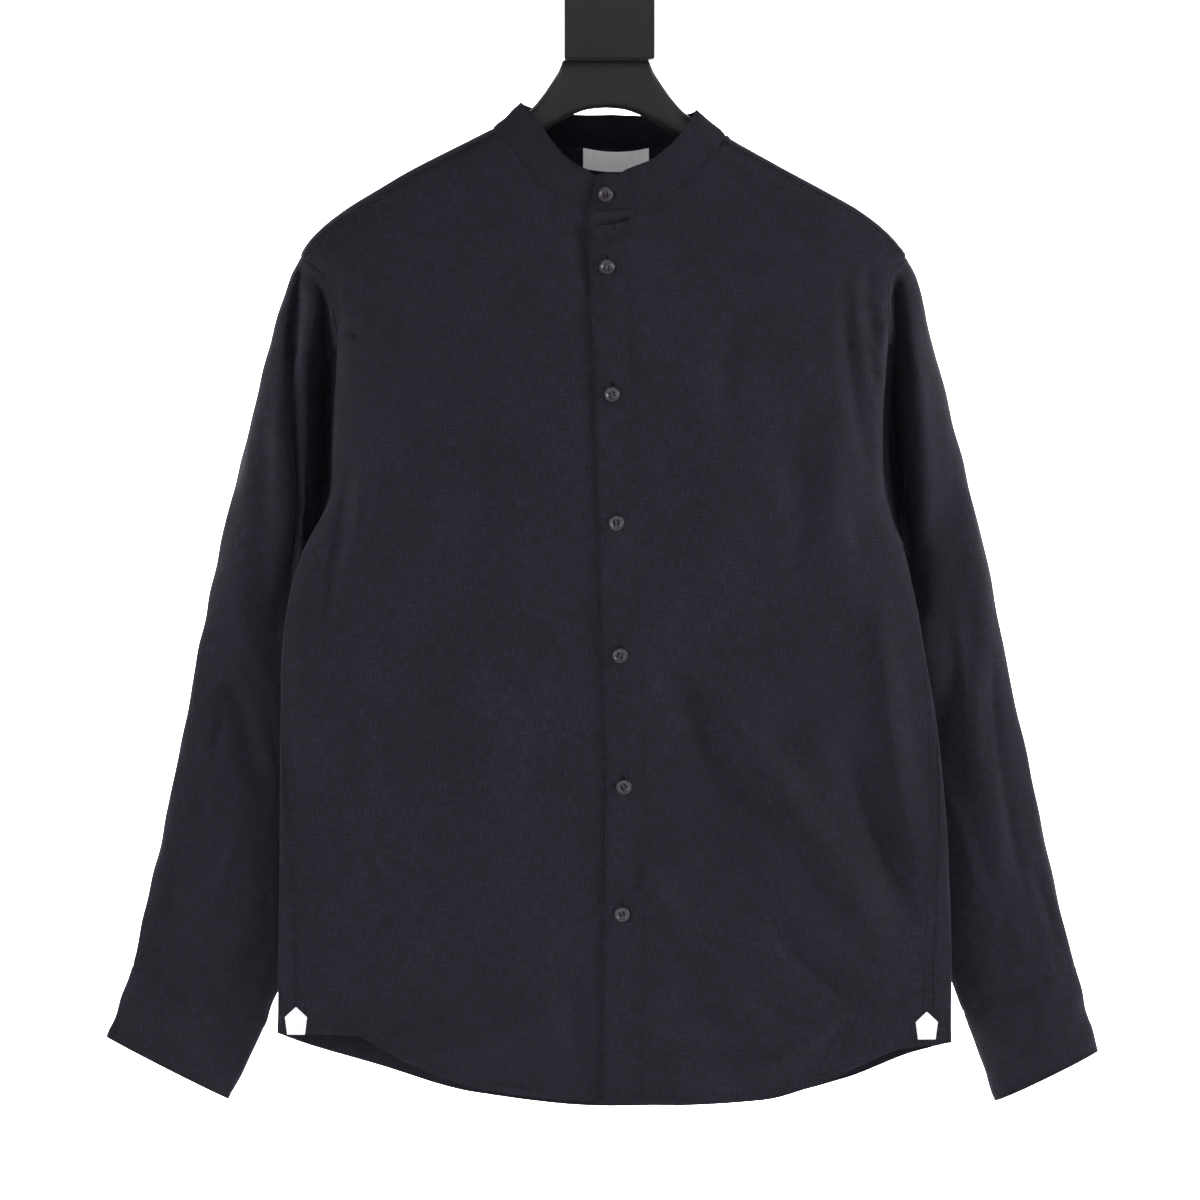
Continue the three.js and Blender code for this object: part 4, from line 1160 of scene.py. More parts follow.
def linear(red, green, blue):
    """Linear colour from 0 to 255 display values."""
    values = np.array([red, green, blue]) / 255
    found = np.where(values <= 0.04045, values / 12.92, ((values + 0.055) / 1.055) ** 2.4)
    return tuple(float(value) for value in found)


def linen_material():
    """Dark yarn-dyed linen: crossing threads, long slubs and soft mottling."""
    graph = Graph("navy_linen")
    uv = graph.cloth_uv()
    threads_up = graph.noise(uv, (1500, 105, 1), 2.0, 0.55)
    threads_across = graph.noise(uv, (95, 1500, 1), 2.0, 0.55)
    slubs = graph.noise(uv, (420, 26, 1))
    clouds = graph.noise(uv, (18, 13, 1), 3.0, 0.55)
    crossing = graph.ranged(threads_up, 0.5, graph.maths("MULTIPLY", threads_across, 0.5))
    yarn = graph.ramp(
        crossing,
        (0.39, linear(15, 15, 20)),
        (0.5, linear(22, 22, 28)),
        (0.61, linear(34, 34, 44)),
    )
    slubbed = graph.blend(graph.maths("MULTIPLY", slubs, 0.25), yarn, linear(32, 31, 40))
    mottling = graph.ramp(clouds, (0.35, (0.88, 0.9, 0.92)), (0.65, (1.1, 1.08, 1.12)))
    return graph.surface({
        "Base Color": graph.blend(1.0, slubbed, mottling, "MULTIPLY"),
        "Roughness": graph.ranged(threads_across, 0.2, 0.72),
        "Normal": graph.bump(crossing, 0.5, 0.0003),
        "Sheen Weight": 0.035,
        "Sheen Roughness": 0.5,
        "Sheen Tint": (0.7, 0.7, 0.9, 1),
        "Specular IOR Level": 0.12,
    })


def thread_material():
    graph = Graph("sewing_thread")
    twist = graph.noise(graph.object_place(), (900, 900, 900))
    return graph.surface({
        "Base Color": graph.ramp(twist, (0.35, linear(15, 15, 20)), (0.7, linear(23, 22, 29))),
        "Roughness": 0.85,
        "Specular IOR Level": 0.1,
    })


def white_cloth_material(name, base, dark):
    graph = Graph(name)
    uv = graph.cloth_uv()
    ribs = graph.noise(uv, (1900, 120, 1))
    cross = graph.noise(uv, (150, 2100, 1))
    both = graph.ranged(ribs, 0.5, graph.maths("MULTIPLY", cross, 0.5))
    return graph.surface({
        "Base Color": graph.ramp(both, (0.3, dark), (0.6, base)),
        "Normal": graph.bump(both, 0.35, 0.0003),
        "Roughness": 0.72,
        "Sheen Weight": 0.15,
    })


def button_material():
    graph = Graph("button_polyester")
    place = graph.object_place()
    swirl = graph.noise(place, (260, 420, 300), 3.0, 0.6)
    scuffs = graph.noise(place, (1400, 1400, 1400))
    dark, middle, pale = linear(23, 19, 25), linear(37, 30, 40), linear(56, 47, 62)
    return graph.surface({
        "Base Color": graph.ramp(swirl, (0.3, dark), (0.55, middle), (0.8, pale)),
        "Roughness": graph.ranged(scuffs, 0.16, 0.28),
        "Coat Weight": 0.18,
        "Coat Roughness": 0.18,
    })


def hanger_material():
    graph = Graph("hanger_plastic")
    place = graph.object_place()
    grain = graph.noise(place, (1700, 1700, 1700))
    wear = graph.noise(place, (22, 22, 46), 4.0, 0.6)
    return graph.surface({
        "Base Color": graph.ramp(wear, (0.3, linear(13, 13, 13)), (0.7, linear(18, 18, 18))),
        "Roughness": graph.ranged(wear, 0.2, 0.4),
        "Specular IOR Level": 0.25,
        "Normal": graph.bump(grain, 0.25, 0.0002),
    })


def steel_material():
    graph = Graph("hook_brushed_steel")
    brushed = graph.noise(graph.object_place(), (160, 160, 2600), 3.0)
    dark, pale = linear(150, 152, 155), linear(186, 188, 191)
    return graph.surface({
        "Base Color": graph.ramp(brushed, (0.3, dark), (0.7, pale)),
        "Roughness": graph.ranged(brushed, 0.2, 0.22),
        "Metallic": 1.0,
    })


linen = linen_material()
thread = thread_material()
label_cloth = white_cloth_material("label_satin", linear(247, 247, 249), linear(228, 228, 232))
patch_cloth = white_cloth_material("patch_twill", linear(226, 227, 232), linear(204, 206, 212))
button_plastic = button_material()
hanger_plastic = hanger_material()
hook_steel = steel_material()


def spaced(*stops):
    """Values through several stops: (value, steps to the next), ..., value."""
    found = []
    for (value, steps), after in zip(stops[:-1], stops[1:]):
        end = after[0] if isinstance(after, tuple) else after
        found += list(np.linspace(value, end, steps, endpoint=False))
    return np.array(found + [stops[-1]])


def front_grid(side):
    """One front: columns from the centre edge to the side, rows from the hem to the collar."""
    yoke_height = float(loop_place(side, YOKE_FRONT_STEP)[0])
    top = SEAM_TOPS[side] - 0.3
    levels = spaced((HEM_LEVEL, 104), (ARMPIT_HEIGHT, 60), (yoke_height, 12), NECK_FRONT)
    climb = NECK_FRONT + NECK_STEP + (top - NECK_FRONT - NECK_STEP) * np.linspace(0, 1, 40) ** 1.3
    levels = np.concatenate([levels, climb])
    ends = np.where(
        levels < ARMPIT_HEIGHT,
        read(SIDE_SEAM, levels, "angle"),
        np.where(
            levels < yoke_height,
            read(ARMHOLE_FRONT, levels, "angle"),
            read(SHOULDER_SEAM, levels, "angle"),
        ),
    )
    lap_x = read(BUTTON_LINE, levels, "x") - side * LAP_WIDTH
    on_neck = neck_place(side * neck_turn(side, levels))[1]
    starts = np.where(levels <= NECK_FRONT, angle_across(lap_x, levels), on_neck)
    share = np.linspace(0, 1, 77)[:, None]
    knee = starts[levels <= NECK_FRONT][-1]
    above = levels > NECK_FRONT
    crowding = np.where(above, mix(6, 1, smooth((levels - NECK_FRONT) / 30)), 1)
    base = np.where(above, knee, starts)
    angles = mix(base[None, :], side * ends[None, :], share)
    angles = angles + (starts - base)[None, :] * (1 - share) ** crowding[None, :]
    heights = row_heights(levels, angles)
    lift = lap_lift(torso(angles, heights)[..., 0], heights) if side > 0 else np.zeros(angles.shape)
    points, normals = torso_place(angles, heights, lift)
    return Grid(points, normals)


def make_front(side, name):
    grid = front_grid(side)
    start, end, foot, top = grid.edges()
    lift = seam_dip(end) + stitch_dip(end, SEAM_FOLD) + pucker(grid.up, end, 11 + side)
    lift += hem_relief(grid, foot, 21 + side)
    on_placket = smooth((NECK_FRONT + 6 - grid.points[..., 2]) / 8)
    lift += seam_dip(top, 0.5, 1.6) + stitch_dip(start, PLACKET_FOLD, 0.15, 1.3) * on_placket
    lift += pucker(grid.up, np.abs(start - PLACKET_FOLD), 31 + side, 0.1, 5) * on_placket
    lift += seam_dip(start, 0.5, 1.6) * (1 - on_placket)
    grid = grid.raised(lift * smooth(start / 1.5 + 0.6))
    lines = grid.lines(("end", EDGE_STITCH), ("end", SEAM_STITCH), ("foot", HEM_STITCH))
    if side > 0:
        below_neck = grid.points[0, :, 2] < NECK_FRONT + 2
        for line in grid.lines(("start", PLACKET_FOLD), ("start", PLACKET_STITCH)):
            lines.append(tuple(part[below_neck] for part in line))
    return sewn(name, grid, lines, plan=front_plan(grid.points))


def make_back():
    yoke_height = float(loop_place(1, LOOP_COUNT - YOKE_BACK_STEP)[0])
    levels = spaced((HEM_LEVEL, 104), (ARMPIT_HEIGHT, 50), yoke_height)
    starts = np.where(
        levels < ARMPIT_HEIGHT,
        read(SIDE_SEAM, levels, "angle"),
        read(ARMHOLE_BACK, levels, "angle"),
    )
    share = np.linspace(0, 1, 151)[:, None]
    angles = mix(starts[None, :], 360 - starts[None, :], share)
    heights = row_heights(levels, angles)
    grid = Grid(*torso_place(angles, heights))
    start, end, foot, top = grid.edges()
    lift = seam_dip(start) + seam_dip(end) + seam_dip(top)
    lift = lift + pucker(grid.up, start, 41) + pucker(grid.up, end, 42)
    grid = grid.raised(lift + hem_relief(grid, foot, 43) + pucker(grid.across, top, 44))
    lines = grid.lines(
        ("foot", HEM_STITCH),
        ("top", EDGE_STITCH),
        ("start", EDGE_STITCH),
        ("end", EDGE_STITCH),
    )
    return sewn("back", grid, lines, plan=front_plan(grid.points))


def yoke_top(steps):
    """Upper edge of the yoke: left shoulder seam, back of the neck, right shoulder seam."""
    left_knots = [float(loop_place(1, YOKE_FRONT_STEP)[0]), *SHOULDER_STATIONS, SEAM_TOPS[1]]
    right_knots = [float(loop_place(-1, YOKE_FRONT_STEP)[0]), *SHOULDER_STATIONS, SEAM_TOPS[-1]]
    at = np.arange(0, len(left_knots) - 1, 1 / steps)
    left = np.interp(at, np.arange(len(left_knots)), left_knots)
    right = np.interp(at, np.arange(len(right_knots)), right_knots)[::-1]
    first = float(neck_turn(1, SEAM_TOPS[1]))
    last = 360 - float(neck_turn(-1, SEAM_TOPS[-1]))
    turns = np.linspace(first, last, 12 * steps + 1)
    neck_heights, neck_angles = neck_place(turns)
    heights = np.concatenate([left, neck_heights, right])
    angles = np.concatenate([shoulder_angle(1, left), neck_angles, shoulder_angle(-1, right)])
    return heights, np.where(angles < 0, angles + 360, angles)


def make_yoke():
    """The yoke, laid out between its four edges on the torso's surface."""
    top_heights, top_angles = yoke_top(5)
    across = np.linspace(0, 1, len(top_heights))[:, None]
    up = np.linspace(0, 1, 49)[None, :]
    counts = np.linspace(LOOP_COUNT - YOKE_BACK_STEP, LOOP_COUNT + YOKE_FRONT_STEP, 49)
    left_heights, left_angles = loop_place(1, counts)
    right_heights, right_angles = loop_place(-1, counts)
    right_angles = np.where(right_angles < 0, right_angles + 360, right_angles)

    def blend(left, right, top):
        bottom = mix(left[0], right[0], across)
        corners = mix(bottom, mix(left[-1], right[-1], across), up)
        sides = mix(left[None, :], right[None, :], across)
        return sides + mix(bottom, top[:, None], up) - corners

    heights = blend(left_heights, right_heights, top_heights)
    angles = blend(left_angles, right_angles, top_angles)
    grid = Grid(*torso_place(angles, heights))
    start, end, foot, top = grid.edges()
    lift = seam_dip(start) + seam_dip(end) + seam_dip(foot) + seam_dip(top)
    lift += stitch_dip(top, SEAM_FOLD) + stitch_dip(foot, SEAM_FOLD)
    grid = grid.raised(lift + pucker(grid.across, top, 51) + pucker(grid.across, foot, 52))
    lines = grid.lines(("top", EDGE_STITCH), ("foot", EDGE_STITCH), ("foot", SEAM_STITCH))
    return sewn("yoke", grid, lines, plan=front_plan(grid.points))


def ring_point(ring, side, turn):
    cosine, sine = cos_deg(turn), sin_deg(turn)
    x = mix(ring["inner_x"], ring["outer_x"], (1 + cosine) / 2)
    z = mix(ring["inner_z"], ring["outer_z"], (1 + cosine) / 2)
    y = ring["middle"] - ring["tilt"] * cosine - ring["depth"] * sine
    x, y, z = np.broadcast_arrays(side * x, y, z)
    return np.stack([x, y, z], axis=-1)


def sleeve_ring(rows, t):
    return {column: read(rows, t, column) for column in SLEEVE_COLUMNS}


def sleeve_point(rows, side, count, t):
    """Sleeve surface: it starts on the armhole's loop and eases into the sleeve form."""
    count, t = np.broadcast_arrays(np.asarray(count, dtype=float), np.clip(t, 0, 1))
    turn = count / LOOP_COUNT * 360
    free = ring_point(sleeve_ring(rows, t), side, turn)
    first = ring_point(sleeve_ring(rows, np.zeros(1)), side, turn)
    height, angle = loop_place(side, count)
    seam = torso(angle, height)
    underarm = (1 - cos_deg(turn)) / 2
    hold = 1 - smooth(t / mix(SLEEVE_BLEND_TOP, SLEEVE_BLEND_UNDER, underarm))
    points = free + (seam - first) * hold[..., None]
    facing = smooth(sin_deg(turn) / VALLEY_FRONT) * smooth(t / VALLEY_BLEND)
    x, height = np.abs(points[..., 0]), points[..., 2]
    for valley in VALLEYS[side]:
        centre, width, depth = (
            read(valley, height, column) for column in ("x", "width", "depth")
        )
        points[..., 1] += depth * np.exp(-(((x - centre) / width) ** 2)) * facing
    return points


def sleeve_crease(side, turn, t):
    """Rise of a sleeve's creases, which may run across the start of the turn."""
    scale = [SLEEVE_MM_PER_TURN, SLEEVE_MM_LONG] * 2
    placed = [(*np.multiply(crease[:4], scale), *crease[4:]) for crease in SLEEVE_CREASES[side]]
    return sum(
        crease_rise(placed, (turn + whole) * SLEEVE_MM_PER_TURN, t * SLEEVE_MM_LONG)
        for whole in (-360, 0, 360)
    )


def make_sleeve(rows, side, name):
    counts = np.arange(0, LOOP_COUNT, 0.15)[:, None]
    t = np.linspace(0, 1, 151)[None, :] ** 1.08
    points = sleeve_point(rows, side, counts, t)
    around = sleeve_point(rows, side, counts + 0.1, t) - sleeve_point(rows, side, counts - 0.1, t)
    along = sleeve_point(rows, side, counts, t + 0.003) - sleeve_point(rows, side, counts, t - 0.003)
    normals = unit(np.cross(around, along)) * side
    at_seam = torso_place(*loop_place(side, counts)[::-1])[1]
    normals = unit(mix(at_seam, normals, smooth(t / 0.05)[..., None]))
    grid = Grid(points, normals, around=True)
    turns = np.broadcast_to(counts / LOOP_COUNT * 360, grid.points.shape[:2])
    foot, top = grid.from_edge("foot"), grid.from_edge("top")
    uneven = waves(cos_deg(turns) * 45 + 60 * sin_deg(turns), grid.up, 60 + side, 30, 95)
    creases = sleeve_crease(side, turns, np.broadcast_to(t, turns.shape))
    lift = (CREASE_GAIN * creases + SLEEVE_UNEVEN * uneven) * smooth(foot / 22) * smooth(top / 10)
    lift += seam_dip(foot) + seam_dip(top, 0.4) + stitch_dip(foot, SEAM_FOLD)
    lift += pucker(turns * SLEEVE_MM_PER_TURN, foot, 61 + side, 0.3)
    lift += pucker(turns * SLEEVE_MM_PER_TURN, top, 63 + side, 0.3, 14)
    grid = grid.raised(lift)
    plan = front_plan(grid.points, side * SLEEVE_GRAIN_TURN)
    return sewn(name, grid, grid.lines(("foot", EDGE_STITCH)), plan=plan)


def cuff_surface(rows, foot, side, wind, down):
    head = sleeve_ring(rows, np.ones(1))
    turn = (CUFF_START + wind) * 360
    return mix(ring_point(head, side, turn), ring_point(foot, side, turn), np.asarray(down)[..., None])


def cuff_place(rows, foot, side, wind, down):
    """Places on a cuff: a strip wound once round the wrist, its last stretch lapped at the back."""
    wind, down = np.broadcast_arrays(np.asarray(wind, dtype=float), np.asarray(down, dtype=float))

    def at(turns, height):
        return cuff_surface(rows, foot, side, turns, height)

    around = at(wind + 0.004, down) - at(wind - 0.004, down)
    along = at(wind, down + 0.02) - at(wind, down - 0.02)
    normals = unit(np.cross(around, along))
    centre = (at(np.zeros(wind.shape), down) + at(np.full(wind.shape, 0.5), down)) / 2
    points = at(wind, down)
    normals = normals * np.sign(((points - centre) * normals).sum(-1, keepdims=True))
    lift = LAP_RISE * smooth((wind - 1 + CUFF_LAP_BLEND) / CUFF_LAP_BLEND)
    return points + normals * lift[..., None], normals


def make_cuff(rows, foot_ring, side, name):
    winds = np.linspace(0, 1 + CUFF_LAP, 151)[:, None]
    down = np.linspace(0, 1, 25)[None, :]
    grid = Grid(*cuff_place(rows, foot_ring, side, winds, down))
    foot, top = grid.from_edge("foot"), grid.from_edge("top")
    uneven = waves(grid.across, grid.up, 70 + side, 20, 60)
    lift = SLEEVE_UNEVEN * uneven * smooth(foot / 8) * smooth(top / 8) + seam_dip(foot, 0.4)
    lift += stitch_dip(foot, CUFF_DIP, 0.2) + stitch_dip(top, CUFF_DIP, 0.2)
    lift += pucker(grid.across, foot, 71 + side, 0.18) + pucker(grid.across, top, 73 + side, 0.12)
    grid = grid.raised(lift)
    lines = grid.lines(
        ("foot", CUFF_EDGE_STITCH),
        ("foot", CUFF_STITCH),
        ("top", CUFF_EDGE_STITCH),
        ("top", CUFF_STITCH),
        ("start", CUFF_EDGE_STITCH),
        ("end", CUFF_EDGE_STITCH),
    )
    return sewn(name, grid, lines, COLLAR_WALL)


def collar_lift(wind):
    return LAP_RISE * (1 - smooth((wind - LAP_TURN) / COLLAR_LAP_BLEND))


def collar_point(wind, rise):
    """Collar surface, by the turn round the neck and the height up the band."""
    wind, rise = np.broadcast_arrays(np.asarray(wind, dtype=float), np.asarray(rise, dtype=float))
    height, angle = neck_place(wind)
    base = torso_place(angle, height, collar_lift(wind))[0]
    sine, cosine = sin_deg(wind), cos_deg(wind)
    half_turn = np.degrees(np.arccos(np.clip(cosine, -1, 1)))
    lean = np.radians(
        mix(
            read(COLLAR_FORM, half_turn, "right"),
            read(COLLAR_FORM, half_turn, "left"),
            (1 + sine) / 2,
        )
    )
    heading = np.radians(read(COLLAR_FORM, half_turn, "heading"))
    step = rise * np.sin(lean)
    shift = np.stack(
        [-np.sign(sine) * np.sin(heading) * step, np.cos(heading) * step, rise * np.cos(lean)], axis=-1
    )
    return base + shift


def collar_normals(wind, rise):
    around = collar_point(wind + 0.5, rise) - collar_point(wind - 0.5, rise)
    along = collar_point(wind, rise + 0.5) - collar_point(wind, rise - 0.5)
    normals = unit(np.cross(around, along))
    outward = collar_point(wind, rise) - np.array([NECK_CENTRE, 0, 0])
    outward[..., 2] = 0
    return normals * np.sign((outward * normals).sum(-1, keepdims=True))


def collar_height(wind):
    """Height of the band, with its two front corners rounded."""
    corner_turn = math.degrees(COLLAR_CORNER / NECK_LEFT)
    from_end = np.minimum(wind + LAP_TURN, 360 + LAP_TURN - wind) / corner_turn
    drop = 1 - np.sqrt(1 - (1 - np.clip(from_end, 0, 1)) ** 2)
    return COLLAR_HEIGHT - COLLAR_CORNER * drop


def make_collar():
    ends = np.linspace(0, 1, 16, endpoint=False) ** 1.6 * (2 * LAP_TURN)
    between = np.linspace(LAP_TURN, 360 - LAP_TURN, 190)
    winds = np.concatenate([ends - LAP_TURN, between, (360 + LAP_TURN - ends)[::-1]])[:, None]
    rise = mix(COLLAR_FOOT, collar_height(winds), np.linspace(0, 1, 17)[None, :])
    grid = Grid(collar_point(winds, rise), collar_normals(winds, rise))
    foot, top = grid.from_edge("foot"), grid.from_edge("top")
    uneven = waves(grid.across, grid.up, 80, 22, 70)
    lift = COLLAR_UNEVEN * uneven * smooth(foot / 6) * smooth(top / 6)
    lift += seam_dip(foot, 0.7, 1.6) + stitch_dip(top, COLLAR_DIP) + stitch_dip(foot, COLLAR_DIP)
    grid = grid.raised(lift + pucker(grid.across, foot, 81, 0.14, 6))
    lines = grid.lines(*((edge, COLLAR_STITCH) for edge in ("foot", "top", "start", "end")))
    return sewn("collar_band", grid, lines, COLLAR_WALL, sewing="stitches_collar")


def make_label():
    """Label inside the back of the neck, its upper edge sagging between its sewn corners."""
    across, up = np.meshgrid(np.linspace(-1, 1, 61), np.linspace(0, 1, 21), indexing="ij")
    x = LABEL_CENTRE + across * LABEL_WIDTH / 2
    height = LABEL_TOP - LABEL_DEPTH * (1 - up) - LABEL_SAG * (1 - across**2)
    points, normals = torso_place(angle_across(x, height, back=True), height)
    grid = Grid(points - normals * (CLOTH_WALL + LABEL_OFFSET), -normals)
    grid = grid.raised(0.9 * (1 - across**2) * up + 0.25 * waves(x, height, 90, 14, 40))
    lines = grid.lines(("start", 1.2), ("end", 1.2))
    return trim("label", grid, LABEL_WALL, label_cloth, lines, 1.8)


def make_patch(name, seam_x, foot):
    """Five-sided patch over the foot of a side seam, pointing up."""
    across, up = np.meshgrid(np.linspace(-1, 1, 25), np.linspace(0, 1, 31), indexing="ij")
    at_foot, at_shoulder, at_point = PATCH_HALVES
    lower = mix(at_foot, at_shoulder, up / PATCH_SHOULDER)
    upper = mix(at_shoulder, at_point, (up - PATCH_SHOULDER) / (1 - PATCH_SHOULDER))
    x = seam_x + across * np.where(up < PATCH_SHOULDER, lower, upper)
    height = foot + up * PATCH_HEIGHT
    grid = Grid(*torso_place(angle_across(x, height), height, PATCH_LIFT))
    edge = np.minimum.reduce(grid.edges())
    grid = grid.raised(seam_dip(edge, 0.5, 0.8) + stitch_dip(edge, 1.8, 0.25, 0.6))
    lines = grid.lines(("start", 1.5), ("end", 1.5), ("foot", 1.5))
    return trim(name, grid, CLOTH_WALL, patch_cloth, lines, 1.9)


def button_mesh():
    """A four-hole button with a raised rim, its back at the origin and its face along +Z."""
    profile = (
        (0.0, 1.25),
        (2.6, 1.25),
        (3.3, 1.32),
        (3.75, 1.6),
        (4.1, 2.0),
        (4.5, 2.2),
        (5.05, 2.18),
        (5.5, 1.95),
        (5.76, 1.5),
        (5.8, 1.05),
        (5.6, 0.55),
        (5.1, 0.18),
        (4.2, 0.0),
        (0.0, 0.0),
    )
    body = bmesh.new()
    sides = 48
    turns = [corner / sides * 2 * math.pi for corner in range(sides)]
    circle = [(math.cos(turn), math.sin(turn)) for turn in turns]
    rings = []
    for radius, z in profile:
        if radius == 0:
            rings.append([body.verts.new((0, 0, z / 1000))])
            continue
        ring = [(radius * x / 1000, radius * y / 1000, z / 1000) for x, y in circle]
        rings.append([body.verts.new(place) for place in ring])
    for inner, outer in zip(rings[:-1], rings[1:]):
        for corner in range(sides):
            after = (corner + 1) % sides
            if len(inner) == 1:
                body.faces.new((inner[0], outer[corner], outer[after]))
            elif len(outer) == 1:
                body.faces.new((inner[corner], outer[0], inner[after]))
            else:
                body.faces.new((inner[corner], outer[corner], outer[after], inner[after]))
    bmesh.ops.recalc_face_normals(body, faces=body.faces)
    disc = add_object("button_disc", mesh_from(body, "button"))
    drill = bmesh.new()
    for x, y in BUTTON_HOLES:
        made = bmesh.ops.create_cone(
            drill, cap_ends=True, segments=20, radius1=0.00082, radius2=0.00082, depth=0.006
        )
        place = (x * BUTTON_HOLE_REACH / 1000, y * BUTTON_HOLE_REACH / 1000, 0.001)
        bmesh.ops.translate(drill, verts=made["verts"], vec=place)
    cutter = add_object("button_drill", mesh_from(drill, "button_drill"))
    cut = disc.modifiers.new("holes", "BOOLEAN")
    cut.operation = "DIFFERENCE"
    cut.solver = "EXACT"
    cut.object = cutter
    bpy.context.view_layer.update()
    evaluated = disc.evaluated_get(bpy.context.evaluated_depsgraph_get())
    made = bpy.data.meshes.new_from_object(evaluated)
    made.name = "four_hole_button"
    soften(made, 38)
    bpy.data.objects.remove(disc)
    bpy.data.objects.remove(cutter)
    return made


def frame_axes(normal):
    """Right, up and out directions on a surface."""
    out = unit(np.asarray(normal, dtype=float))
    right = unit(np.cross((0.0, 0.0, 1.0), out))
    return right, np.cross(out, right), out


def add_button(name, mesh, point, normal, turn):
    """Puts a button on the cloth, turned about its axis, and gives back its place and axes for its
    thread.
    """
    right, up, out = frame_axes(normal)
    across = right * math.cos(turn) + up * math.sin(turn)
    upward = np.cross(out, across)
    place = point + out * BUTTON_CLEARANCE
    local = np.empty(len(mesh.vertices) * 3)
    mesh.vertices.foreach_get("co", local)
    world = place / 1000 + local.reshape(-1, 3) @ np.stack([across, upward, out])
    copy = mesh.copy()
    copy.vertices.foreach_set("co", world.ravel())
    copy.update()
    belongs(add_object(f"{name}_shaped", copy), "button", button_plastic, name)
    return place, across, upward, out


def button_threads(places):
    """Two bars of thread over each button, between its holes, and the shank under it."""
    strands = []
    for place, across, upward, out in places:
        for shift in (-BUTTON_HOLE_REACH, BUTTON_HOLE_REACH):
            for offset in (-0.26, 0.0, 0.26):
                centre = place + across * (shift + offset)
                bar = []
                for along in np.linspace(-1, 1, 9):
                    height = 1.45 - 0.95 * abs(along) ** 6
                    bar.append(centre + upward * 1.55 * along + out * height)
                strands.append(np.array(bar))
        for x, y in BUTTON_HOLES:
            foot = place + across * BUTTON_HOLE_REACH * x + upward * BUTTON_HOLE_REACH * y
            strands.append(np.stack([foot + out * height for height in (-0.5, 0.2, 0.9)]))
    piece = make_mesh("button_threads", *tubes(strands, 0.17, 6), sharp=60)
    return belongs(piece, "linen", thread)


def tubes(lines, radius, sides):
    """Round strands along lines of points, as one mesh's points and faces."""
    points, faces = [], []
    turns = np.arange(sides) / sides * 2 * math.pi
    for line in lines:
        faces += tube_faces(len(line), sides, len(points))
        tangents = unit(np.gradient(line, axis=0))
        first = unit(np.cross(tangents, (0.31, 0.77, 0.55)))
        second = np.cross(tangents, first)
        for centre, a, b in zip(line, first, second):
            points += [centre + radius * (math.cos(turn) * a + math.sin(turn) * b) for turn in turns]
    return points, faces


def buttonhole(point, right, up, out):
    """Thread worked round a slit: a narrow closed ring lying on the cloth."""
    ring = []
    for turn in np.linspace(0, 2 * math.pi, 41):
        across = np.sign(math.cos(turn)) * abs(math.cos(turn)) ** 0.6 * HOLE_WIDTH / 2
        along = math.sin(turn) * HOLE_LENGTH / 2
        ring.append(point + right * across + up * along + out * 0.18)
    return np.array(ring)


def make_buttons():
    mesh = button_mesh()
    places, holes = [], []

    def add(name, spot, normal, turn, level, shift):
        """Adds a button and its buttonhole, which lies level or upright."""
        places.append(add_button(name, mesh, spot, normal, turn))
        right, up, out = frame_axes(normal)
        if level:
            holes.append(buttonhole(spot + right * shift, up, right, out))
        else:
            holes.append(buttonhole(spot + up * shift, right, up, out))

    start, rise = np.zeros(1), np.array([COLLAR_BUTTON_RISE], dtype=float)
    spot, normal = collar_point(start, rise)[0], collar_normals(start, rise)[0]
    add("button_collar", spot, normal, BUTTON_TURNS[0], True, 1.0)
    for index, height in enumerate(BUTTON_HEIGHTS, 1):
        x = float(read(BUTTON_LINE, height, "x"))
        spot, normal = torso_place(float(angle_across(x, height)), height, float(lap_lift(x, height)))
        add(f"button_front_{index}", spot, normal, BUTTON_TURNS[index], False, 1.5)
    for rows, foot, side, name in (
        (SLEEVE_RIGHT, CUFF_FOOT_RIGHT, -1, "button_cuff_right"),
        (SLEEVE_LEFT, CUFF_FOOT_LEFT, 1, "button_cuff_left"),
    ):
        spots, normals = cuff_place(rows, foot, side, np.array([CUFF_BUTTON_WIND]), np.array([0.5]))
        add(name, spots[0], normals[0], 0.3 * side, True, 1.0)
    button_threads(places)
    belongs(make_mesh("buttonholes", *tubes(holes, 0.42, 6), sharp=60), "linen", thread)


def arm_top(x, across):
    top = float(read(ARM_ROWS, across, "top"))
    side = -1 if x < 0 else 1
    if abs(x) <= (NECK_LEFT if side > 0 else NECK_RIGHT):
        return top
    return min(top, ridge_height(side, abs(x)) - ARM_CLEARANCE)


def make_arms():
    """Hanger arms: rounded sections from tip to tip, under the shoulders' cloth."""
    half = spaced((0, 12), (32, 26), (62, 58), (205, 11), ARM_TIP)
    sides = 40
    turns = np.arange(sides) / sides * 2 * math.pi
    offsets = np.concatenate([-half[:0:-1], half])
    points = []
    for offset in offsets:
        across, x = abs(offset), HANGER_CENTRE + offset
        bottom, thickness, squareness = (
            float(read(ARM_ROWS, across, column))
            for column in ("bottom", "thickness", "squareness")
        )
        top = arm_top(x, across)
        bottom = min(bottom, top - 8)
        for turn in turns:
            cosine, sine = math.cos(turn), math.sin(turn)
            y = thickness * math.copysign(abs(cosine) ** squareness, cosine)
            rise = (top - bottom) / 2 * math.copysign(abs(sine) ** squareness, sine)
            points.append((x, y, (top + bottom) / 2 + rise))
    arms = make_mesh("hanger_arms_shaped", points, tube_faces(len(offsets), sides), sharp=40)
    belongs(arms, "hanger", hanger_plastic, "hanger_arms")


